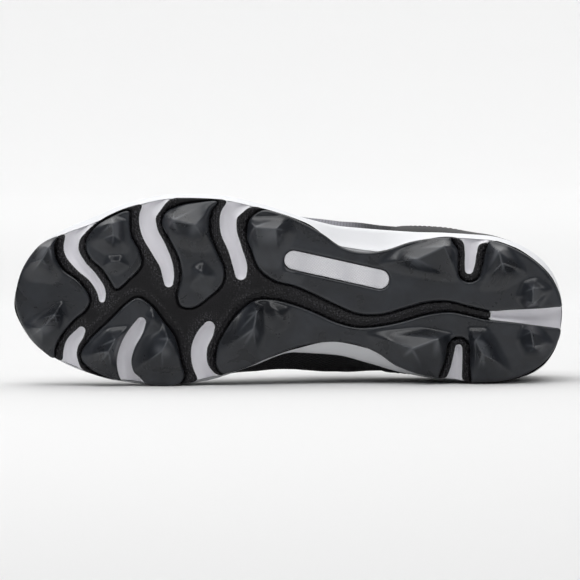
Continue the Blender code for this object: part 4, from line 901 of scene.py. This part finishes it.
def sheet_mesh(name, grid, material, uv=None, closed=False, flip=False):
    """Mesh of a grid of points, rows by columns."""
    rows, columns = grid.shape[:2]
    index = np.arange(rows * columns).reshape(rows, columns)
    if closed:
        index = np.concatenate([index, index[:, :1]], axis=1)
    a, b, c, d = index[:-1, :-1], index[1:, :-1], index[1:, 1:], index[:-1, 1:]
    quads = np.stack([a, b, c, d] if not flip else [d, c, b, a], -1).reshape(-1, 4)
    made = mesh_object(name, grid.reshape(-1, 3), quads, material)
    if uv is not None:
        layer = made.data.uv_layers.new(name="cloth")
        loops = np.zeros(len(made.data.loops), int)
        made.data.loops.foreach_get("vertex_index", loops)
        layer.data.foreach_set("uv", uv.reshape(-1, 2)[loops].ravel())
    if closed:                                        # a tube's two ends are shut
        tube = bmesh.new()
        tube.from_mesh(made.data)
        bmesh.ops.holes_fill(tube, edges=[e for e in tube.edges if e.is_boundary], sides=0)
        tube.to_mesh(made.data)
        tube.free()
    return made


def knit_material(name, dark, light, holes, rough, panel=None):
    """Knit cloth with rows of small holes, in UV metres: matte, with a soft sheen, and rough
    enough to be read as yarn. Where the panel's attribute says so, the yarn is grey."""
    made, tree = new_material(name, Roughness=rough, Sheen_Weight=0.06, Sheen_Roughness=0.5,
                              Specular_IOR_Level=0.12)
    cloth = node(tree, "UVMap", uv_map="cloth")
    waves = []
    for axis, pitch in (("X", 3.4 * MM), ("Y", 2.6 * MM)):
        place = node(tree, "SeparateXYZ", {"Vector": cloth}, output=axis)
        turned = node(tree, "Math", {0: place, 1: 2 * math.pi / pitch}, operation="MULTIPLY")
        waves.append(node(tree, "Math", {0: turned}, operation="SINE"))
    hole = node(tree, "Math", {0: waves[0], 1: waves[1]}, operation="MULTIPLY")
    yarn = node(tree, "TexNoise", {"Vector": cloth, "Scale": 900.0, "Detail": 3.0})
    melange = node(tree, "TexNoise", {"Vector": cloth, "Scale": 120.0, "Detail": 4.0})
    mixed = node(tree, "Math", {0: yarn, 1: melange}, operation="ADD")
    tint = node(tree, "ValToRGB", {"Fac": mixed}, stops=[(0.35, dark), (0.65, light)])
    shadow = node(tree, "MapRange", {"Value": hole, "From Min": 0.35, "From Max": 0.85,
                                     "To Min": 1.0, "To Max": 1 - holes})
    dimmed = node(tree, "VectorMath", {0: tint, "Scale": shadow}, into="Base Color", operation="SCALE")
    height = node(tree, "Math", {0: yarn, 1: shadow}, operation="ADD")
    node(tree, "Bump", {"Height": height, "Strength": 0.8, "Distance": 0.7 * MM}, into="Normal")
    if panel:
        where = node(tree, "Attribute", output="Fac", attribute_name=panel)
        grey = node(tree, "VectorMath", {0: dimmed, "Scale": 20.0}, operation="SCALE")
        node(tree, "Mix", {"Factor": where, 6: dimmed, 7: grey}, output=2,
             into="Base Color", data_type="RGBA")
    return made


knit = knit_material("black engineered knit", "0b0b0c", "1e1e20", 0.8, 0.85, panel="grey_panel")
lining = knit_material("dark grey brushed lining", "141416", "26262a", 0.25, 0.9)

throat_turn = float(angle_of(THROAT_END))
skin_turns = np.unique(np.concatenate([np.linspace(0, throat_turn, 90),
                                       np.linspace(throat_turn, math.pi, 54)]))
turn = np.concatenate([-skin_turns[::-1], skin_turns[1:]])[:, None]
angle = np.abs(turn)
share = share_of(angle)
edge = edge_rise(angle)
SKIN_ROWS, ROLL_ROWS = 44, 9
rise = edge * np.linspace(0, 1, SKIN_ROWS)
pad = padding(turn, rise)
Crease = namedtuple("Crease", "along slant wide deep")      # flex creases behind the toes
creasing = 0
for crease in [Crease(0.725, 0.05, 0.006, 0.5), Crease(0.760, -0.03, 0.008, 0.6),
               Crease(0.795, 0.02, 0.006, 0.4)]:
    off = share - crease.along - crease.slant * np.sign(turn) * (1 - rise / (math.pi / 2))
    creasing = creasing - crease.deep * MM * np.exp(-(off / crease.wide) ** 2) * ease(
        (rise / (math.pi / 2) - 0.35) / 0.4)
outer = last_points(turn, rise, PAD_OUT * pad + creasing)
inner = last_points(turn, rise, -WALL - PAD_IN * pad)
open_here = 1 - ease((share - THROAT_END + 0.012) / 0.012)
a, b = PAD_OUT * padding(turn, edge), -WALL - PAD_IN * padding(turn, edge)
phi = np.linspace(0, math.pi, ROLL_ROWS)[None, :]
point, normal, up = last_frame(turn, edge)
roll_out = (a + b) / 2 + (a - b) / 2 * np.cos(phi)
roll_up = (a - b) / 2 * np.sin(phi) * open_here
rolled = point + normal * roll_out[..., None] + up * roll_up[..., None]
rolled_half = ROLL_ROWS // 2 + 1
height_share = np.concatenate([rise, np.repeat(edge, rolled_half - 1, axis=1)], axis=1) / (math.pi / 2)
grey = ((turn < 0) * (0.10 + 0.90 * ease((share - 0.36) / 0.07)) * ease((share - 0.32) / 0.02)
        * (1 - ease((share - 0.50) / 0.22)) * (1 - ease((height_share - 0.50) / 0.35)))
for name, grid, material, slot, solid in (
        ("upper_skin", [outer, rolled[:, 1:rolled_half]], knit, "upper_black", "upper"),
        ("upper_lining", [inner, rolled[:, ::-1][:, 1:rolled_half]], lining, "lining_grey", None)):
    grid = np.concatenate(grid, axis=1)
    climb = np.cumsum(np.concatenate([np.zeros((len(grid), 1)), np.linalg.norm(
        np.diff(grid, axis=1), axis=-1)], axis=1), axis=1)
    uv = np.stack([np.broadcast_to(share * LENGTH, climb.shape), climb], -1)
    skin = sheet_mesh(name, grid, material, uv, flip=material is lining)
    if material is knit:
        paint(skin, "grey_panel", grey.ravel())
    joined = bmesh.new()
    joined.from_mesh(skin.data)
    bmesh.ops.remove_doubles(joined, verts=joined.verts, dist=0.02 * MM)
    joined.to_mesh(skin.data)
    joined.free()
    hand_in(skin, solid)


# Overlays: toe cap, heel counter and eyestay of smooth coated synthetic leather, fused on the
# knit with a rounded edge and a row of stitches just inside it. Its coat has a fine hide grain
# and uneven polish, which give broad dull highlights.
leather, tree = new_material("smooth coated synthetic leather", Specular_IOR_Level=0.15)
place = node(tree, "TexCoord", output="Object")
hide = node(tree, "TexVoronoi", {"Vector": place, "Scale": 1100.0, "Randomness": 1.0})
wear_and_highlight = node(tree, "TexNoise", {"Vector": place, "Scale": 45.0, "Detail": 5.0})
node(tree, "ValToRGB", {"Fac": wear_and_highlight}, stops=[(0.3, "0e0e10"), (0.75, "19191c")], into="Base Color")
node(tree, "MapRange", {"Value": wear_and_highlight, "To Min": 0.42, "To Max": 0.58}, into="Roughness")
node(tree, "Bump", {"Height": hide, "Strength": 0.18, "Distance": 0.3 * MM}, into="Normal", invert=True)

# Dark grey sewing thread: its twist breaks the light into short dull glints.
thread, tree = new_material("dark grey sewing thread", Roughness=0.7, Sheen_Weight=0.2)
place = node(tree, "TexCoord", output="Object")
twist = node(tree, "TexWave", {"Vector": place, "Scale": 320.0, "Distortion": 1.0},
             output="Fac", bands_direction="DIAGONAL")
node(tree, "ValToRGB", {"Fac": twist}, stops=[(0.1, "2a2a2e"), (0.8, "46464c")], into="Base Color")
node(tree, "Bump", {"Height": twist, "Strength": 0.5, "Distance": 0.1 * MM}, into="Normal")


def edged(count, first=True, last=True):
    """Shares from 0 to 1 that are close together at the ends that have a rim."""
    shares = np.linspace(0, 1, count)
    extra = [0.004, 0.010, 0.018]
    return np.unique(np.concatenate([shares, extra if first else [],
                                     1 - np.array(extra) if last else []]))


def overlay_height(*insides):
    """Height of an overlay from how far inside its edges a place is."""
    inside = np.min(np.broadcast_arrays(*insides), axis=0)
    rise = np.sqrt(1 - (1 - np.clip(inside / (1.2 * MM), 0, 1)) ** 2)
    return -0.3 * MM + (OVERLAY + 0.55 * MM) * rise


def stitch_row(name, path, normals, length=2.3 * MM, pitch=3.3 * MM, radius=0.32 * MM):
    """Row of short sunk stitches along a path on the surface."""
    along = run_length(path)
    points, faces = [], []
    for start in np.arange(pitch / 2, along[-1] - length, pitch):
        a, b, normal = (np.array([np.interp(at, along, line[:, k]) for k in range(3)])
                        for at, line in ((start, path), (start + length, path), (start, normals)))
        side = np.cross(normal, unit(b - a))
        base = len(points)
        for t, swell in ((0.0, 0.35), (0.15, 0.8), (0.5, 1.0), (0.85, 0.8), (1.0, 0.35)):
            for k in range(6):
                g = k * math.pi / 3
                points.append(a + (b - a) * t + radius * swell * (side * math.cos(g)
                              + normal * (math.sin(g) + 0.4 * swell - 0.6)))
        for q in range(base, base + 24, 6):
            faces += [(q + k, q + (k + 1) % 6, q + 6 + (k + 1) % 6, q + 6 + k) for k in range(6)]
    hand_in(mesh_object(name, np.array(points), faces, thread))


def overlay(node_name, turn, rise, height, seams, flip=False, side=""):
    """Overlay on its grid of places, with seams along the given places."""
    grid = last_points(turn, rise, height + PAD_OUT * padding(turn, rise))
    made = sheet_mesh(f"{node_name}_leather{side}", grid, leather, flip=flip)
    hand_in(made, node_name)
    for k, (turns, rises) in enumerate(seams):
        point, normal, _ = last_frame(turns, rises)
        top = OVERLAY + 0.28 * MM + PAD_OUT * padding(turns, rises)
        stitch_row(f"{node_name}_stitches{side}_{k + 1}", point + normal * top[:, None], normal)


CapEdge = namedtuple("CapEdge", "rise along")           # rise over the toes, rear edge of the cap
CAP_EDGE = [CapEdge(0.0, 0.870), CapEdge(0.25, 0.884), CapEdge(0.5, 0.918), CapEdge(0.75, 0.892),
            CapEdge(1.0, 0.872)]


def cap_grid(forward):
    rise = np.linspace(0, math.pi, 97)[None, :]
    rear = angle_of(smooth(column(CAP_EDGE, "rise"), column(CAP_EDGE, "along"), rise / math.pi))
    return rear + (math.pi - rear) * forward, rise


TOE_ROUND, HEEL_ROUND, INSTEP_ROUND = 34 * MM, 60 * MM, 48 * MM     # turn angles into lengths
forward = edged(40, last=False)[:, None]
turn, rise = cap_grid(forward)
overlay("toe_cap", turn, rise + 0 * turn, overlay_height(
    forward * TOE_ROUND + 0 * rise, rise * TOE_ROUND, (math.pi - rise) * TOE_ROUND),
        seams=[tuple(v[0] for v in np.broadcast_arrays(*cap_grid(np.array([[behind]]))))
               for behind in (0.065, 0.14)])

Counter = namedtuple("Counter", "along up")             # top edge of the counter, of the instep
COUNTER_EDGE = [Counter(0.0, 0.625), Counter(0.04, 0.62), Counter(0.10, 0.59), Counter(0.17, 0.51),
                Counter(0.24, 0.38), Counter(0.30, 0.20), Counter(0.332, 0.02)]


def counter_rise(turn):
    angle = np.abs(turn)
    share = share_of(angle)
    level = smooth(column(COUNTER_EDGE, "along"), column(COUNTER_EDGE, "up"), share) * INSTEP
    up = np.clip((level + footbed_height(np.zeros(1)) - footbed_height(LENGTH * share))
                 / (INSTEP * section("top", angle)), 0.01, 0.98)
    square = section("square", angle)
    return np.arctan2(up, (1 - up ** square) ** (1 / square))


counter_end = float(angle_of(0.331))
turn = np.linspace(-counter_end, counter_end, 121)[:, None]
climb = edged(34, first=False)[None, :]
top = counter_rise(turn)
overlay("heel_counter", turn, top * climb, overlay_height(
    (1 - climb) * top * 50 * MM, climb * top * HEEL_ROUND + 0.4 * MM,
    (counter_end - np.abs(turn)) * HEEL_ROUND), flip=True,
    seams=[(turn[4:-4, 0], np.maximum(top[4:-4, 0] - 0.05, 0.02)),
           (turn[5:-5, 0], np.maximum(top[5:-5, 0] - 0.12, 0.01))])

STAY_FROM, STAY_FRONT, STAY_WIDE = COLLAR_FRONT - 0.004, 0.705, 0.115


def foam_half(angle):
    """Half the foam's width at a place along the sole."""
    return (edge_points("foam", -angle)[..., 1] - edge_points("foam", angle)[..., 1]) / 2


stay = edged(90, last=False)[:, None]
shares_along = STAY_FROM + (STAY_FRONT - STAY_FROM) * (1 - (1 - stay) ** 1.35)
angle = angle_of(shares_along)
high = edge_rise(angle)
front = np.clip((shares_along - THROAT_END + 0.02) / (STAY_FRONT - THROAT_END + 0.02), 0, 1)
low = high - np.arctan2(STAY_WIDE * BALL_WIDTH, foam_half(angle))
low = low + (math.pi / 2 - low) * (1 - np.sqrt(np.clip(1 - front ** 2, 0, 1)))
across = edged(18)[None, :]
rise = low + (high - low) * across
band = (high - low) * INSTEP_ROUND
closing = np.where(shares_along < THROAT_END - 0.004, (1 - across) * band, 9 * MM)
height = overlay_height(across * band, closing, (shares_along - STAY_FROM) * LENGTH + 0.2 * MM)
seam_rows = slice(3, -14)
for side, name in ((1, "_inner_side"), (-1, "_outer_side")):
    overlay("eyestay", side * angle, rise, height, flip=side < 0, side=name, seams=[
        (side * angle[seam_rows, 0], (low + (high - low) * place_across)[seam_rows, 0])
        for place_across in (0.16, 0.86)])


# Laces: one flat woven lace in crossings over the tongue, each run dipping into an eyelet with
# a thin lacquered ring. The ends are tucked in at the top eyelets.
EYELETS = [0.398, 0.448, 0.498, 0.548, 0.598, 0.645]
EYELET_IN, LACE_WIDE, LACE_THICK = 0.085, 6.5 * MM, 1.3 * MM
OVER_TOP = OVERLAY + 0.3 * MM
EYELET, EYELET_WIRE = 2.5 * MM, 0.62 * MM      # radius of an eyelet's ring and of its wire


def eyelet_rise(share):
    angle = angle_of(share)
    return edge_rise(angle) - np.arctan2(EYELET_IN * BALL_WIDTH, foam_half(angle))


# Black lacquered metal: rubbed in spots, so that each small ring shows an uneven glint.
lacquer, tree = new_material("black lacquered metal", Metallic=0.6, Coat_Weight=0.4,
                             Coat_Roughness=0.15)
place = node(tree, "TexCoord", output="Object")
rubs = node(tree, "TexNoise", {"Vector": place, "Scale": 600.0, "Detail": 4.0})
node(tree, "ValToRGB", {"Fac": rubs}, stops=[(0.4, "101012"), (0.8, "2c2c30")], into="Base Color")
node(tree, "MapRange", {"Value": rubs, "To Min": 0.22, "To Max": 0.42}, into="Roughness")

# Shaded knit in an eyelet: almost black, so that the hole looks deep.
shade, tree = new_material("shaded knit in an eyelet", Roughness=0.9)
place = node(tree, "TexCoord", output="Object")
yarn = node(tree, "TexNoise", {"Vector": place, "Scale": 1600.0, "Detail": 3.0})
node(tree, "ValToRGB", {"Fac": yarn}, stops=[(0.35, "030304"), (0.7, "0b0b0d")], into="Base Color")

ring_points_all, wire_faces, hole_points, hole_faces = [], [], [], []
for share in EYELETS:
    for side in (1, -1):
        point, normal, up = last_frame(np.array(side * angle_of(share)), np.array(eyelet_rise(share)))
        across_way = np.cross(normal, up)
        centre = point + normal * OVER_TOP
        base = len(ring_points_all)
        for i in range(20):
            a = 2 * math.pi * i / 20
            arm = up * math.cos(a) + across_way * math.sin(a)
            for j in range(8):
                b = 2 * math.pi * j / 8
                ring_points_all.append(centre + arm * (EYELET + EYELET_WIRE * math.cos(b))
                                       + normal * 0.45 * MM * math.sin(b))
            for j in range(8):
                wire_faces.append((base + i * 8 + j, base + i * 8 + (j + 1) % 8,
                                   base + (i + 1) % 20 * 8 + (j + 1) % 8, base + (i + 1) % 20 * 8 + j))
        base = len(hole_points)
        hole_points += [centre + normal * 0.12 * MM + 2.4 * MM * (
            up * math.cos(a) + across_way * math.sin(a)) for a in np.linspace(0, 2 * math.pi, 17)[:-1]]
        hole_faces.append(tuple(range(base, base + 16)))
hand_in(mesh_object("eyelet_rings", np.array(ring_points_all), wire_faces, lacquer))
hand_in(mesh_object("eyelet_holes", np.array(hole_points), hole_faces, shade))

# Black flat woven lace: two sets of slanting ribs give it a dull woven look.
lace_cloth, tree = new_material("black flat woven lace", Roughness=0.75, Sheen_Weight=0.1,
                                Sheen_Roughness=0.4, Specular_IOR_Level=0.3)
cloth = node(tree, "UVMap", uv_map="cloth")
lengthways, crossways = (node(tree, "SeparateXYZ", {"Vector": cloth}, output=axis)
                         for axis in ("X", "Y"))
ribs = []
for slant in ("ADD", "SUBTRACT"):
    diagonal = node(tree, "Math", {0: lengthways, 1: crossways}, operation=slant)
    turned = node(tree, "Math", {0: diagonal, 1: 2 * math.pi / (1.1 * MM)}, operation="MULTIPLY")
    ribs.append(node(tree, "Math", {0: turned}, operation="SINE"))
weave = node(tree, "Math", {0: ribs[0], 1: ribs[1]}, operation="MAXIMUM")
node(tree, "ValToRGB", {"Fac": weave}, stops=[(0.0, "08080a"), (0.9, "1e1e22")], into="Base Color")
node(tree, "Bump", {"Height": weave, "Strength": 0.5, "Distance": 0.2 * MM}, into="Normal")


def strap_section(count, wide_power, thick_power):
    """Sideways and outward shares of the points round a flat section with rounded edges."""
    a = np.linspace(0, 2 * math.pi, count + 1)[:-1]
    return (np.sign(np.cos(a)) * np.abs(np.cos(a)) ** wide_power,
            np.sign(np.sin(a)) * np.abs(np.sin(a)) ** thick_power)


def lace_run(name, start, end, side, lift):
    """Run of the lace from an eyelet on one side to one on the other."""
    t = np.linspace(0, 1, 41)
    share = start + (end - start) * t
    rise_a, rise_b = float(eyelet_rise(start)), math.pi - float(eyelet_rise(end))
    rise = rise_a + (rise_b - rise_a) * t
    dip = 1 - ease(np.minimum(t, 1 - t) / 0.13)
    point, normal, _ = last_frame(side * angle_of(share), rise)
    tent = 1.4 * MM * np.sin(math.pi * t)
    centre = point + normal * (OVER_TOP + 0.9 * MM + lift - 2.2 * MM * dip + tent)[:, None]
    wide = unit(np.cross(unit(np.gradient(centre, axis=0)), normal))
    sideways, outwards = strap_section(24, 0.55, 0.75)
    sideways = (LACE_WIDE / 2 * (1 - 0.42 * dip))[:, None] * sideways
    outwards = (LACE_THICK / 2 * (1 + 0.5 * dip))[:, None] * outwards
    grid = (centre[:, None] + wide[:, None] * sideways[..., None]
            + normal[:, None] * outwards[..., None])
    uv = np.stack([np.broadcast_to(run_length(centre)[:, None], sideways.shape), sideways], -1)
    hand_in(sheet_mesh(name, grid, lace_cloth, uv, closed=True), "laces")


lace_run("lace_bar", EYELETS[-1], EYELETS[-1], 1, 0.0)
for k, (lower, higher) in enumerate(zip(EYELETS[1:], EYELETS)):
    lace_run(f"lace_under_{k + 1}", lower, higher, 1, 0.0)
    lace_run(f"lace_over_{k + 1}", lower, higher, -1, 1.35 * MM)


# Tongue: a padded tongue of soft spacer mesh, sewn in at its toe end and laced over. Its edge is
# bound, and its head stands up out of the collar.
TONGUE_HALF, TONGUE_FROM, TONGUE_TO = 0.24, 0.300, 0.70
HEAD_FROM, HEAD_LIFT = COLLAR_FRONT - 0.038, 0.15


def tongue_points(share, across, depth):
    angle = angle_of(share)
    rise = math.pi / 2 - across
    clear = 3 * GAP + 4 * GAP * np.clip(np.maximum((share - 0.56) / 0.08, (0.43 - share) / 0.06), 0, 1)
    point = last_points(angle, rise, -WALL - clear - depth)
    head = np.maximum(0.0, (HEAD_FROM - share) / (HEAD_FROM - TONGUE_FROM))
    point[..., 2] += INSTEP * HEAD_LIFT * head ** 1.3
    point[..., 0] -= INSTEP * 0.05 * head
    return point


tongue_mesh = knit_material("padded spacer mesh", "111113", "232327", 0.6, 0.85)
down = np.linspace(0, 1, 70)[:, None]
share = TONGUE_FROM + (TONGUE_TO - TONGUE_FROM) * down
ends = np.sqrt(np.clip(1 - (1 - np.minimum(down, 1 - down) / 0.06).clip(0, 1) ** 2, 0, 1))
spread = np.arctan2(TONGUE_HALF * BALL_WIDTH, foam_half(angle_of(share))) * (0.72 + 0.28 * ends)
wide, thick = strap_section(48, 0.6, 0.8)
quilt = 1 + 0.10 * np.cos(2 * math.pi * down * 9)
head_pad = 1 + 0.9 * ease((0.365 - share) / 0.04)     # thicker where it stands free of the throat
depth = TONGUE * (0.5 - 0.5 * thick * (0.35 + 0.65 * ends) * (0.80 + 0.20 * quilt) * head_pad)
grid = tongue_points(share + 0 * wide, spread * wide, depth)
across = 26 * MM * wide * np.where(thick > 0, 1, -1)
uv = np.stack(np.broadcast_arrays(share * LENGTH, across), -1)
tongue = sheet_mesh("tongue_padded", grid, tongue_mesh, uv, closed=True)
hand_in(tongue, "tongue")

t = np.linspace(-1, 1, 41)
here = TONGUE_FROM + 0.002 + 0.030 * np.abs(t) ** 4      # the binding rounds off the corners
width = np.arctan2(TONGUE_HALF * BALL_WIDTH, foam_half(angle_of(here))) * 0.93
binding_path = tongue_points(here, width * t, TONGUE * 0.5)
run = unit(np.gradient(binding_path, axis=0))
side_way = unit(np.cross(run, np.array([0.3, 0.0, 1.0])))
up_way = np.cross(side_way, run)
a = np.linspace(0, 2 * math.pi, 17)[:-1][None, :, None]
grid = binding_path[:, None] + 2.5 * MM * (side_way[:, None] * np.cos(a)
                                           + up_way[:, None] * 0.8 * np.sin(a))
hand_in(sheet_mesh("tongue_binding", grid, leather, closed=True))


# Insole: a sockliner of pressed foam with a brushed cloth face, cupped at the heel. It lies
# loose on the midsole, and the nap of its cloth makes it soft and dull inside the shoe.
sock_cloth, tree = new_material("brushed charcoal sockliner cloth", Roughness=0.9, Sheen_Weight=0.4,
                                Sheen_Roughness=0.5)
place = node(tree, "TexCoord", output="Object")
nap = node(tree, "TexNoise", {"Vector": place, "Scale": 1400.0, "Detail": 4.0})
node(tree, "ValToRGB", {"Fac": nap}, stops=[(0.3, "232327"), (0.7, "414147")], into="Base Color")
node(tree, "Bump", {"Height": nap, "Strength": 0.5, "Distance": 0.4 * MM}, into="Normal")

narrow = np.minimum(1.0, np.abs(np.sin(TURNS_FINE)) * 2.2 + 0.35)
insole_rings = []
for inset, level in ((0.0, 0.0), (0.0, 0.75), (0.5, 0.95), (1.4, 1.0), (4.0, 0.93), (9.0, 0.82),
                     (16.0, 0.76), (24.0, 0.75)):
    plan = ring_points("foam", TURNS_FINE, LEDGE + WALL + 3 * GAP + inset * MM * narrow)
    insole_rings.append(np.column_stack([plan, footbed_height(plan[:, 0]) + GAP + INSOLE * level]))
index = np.arange(len(insole_rings) * len(TURNS_FINE)).reshape(len(insole_rings), -1)
insole = mesh_object("sockliner", np.concatenate(insole_rings), ring_faces(index, flip=True),
                     sock_cloth)
hand_in(insole, "insole")
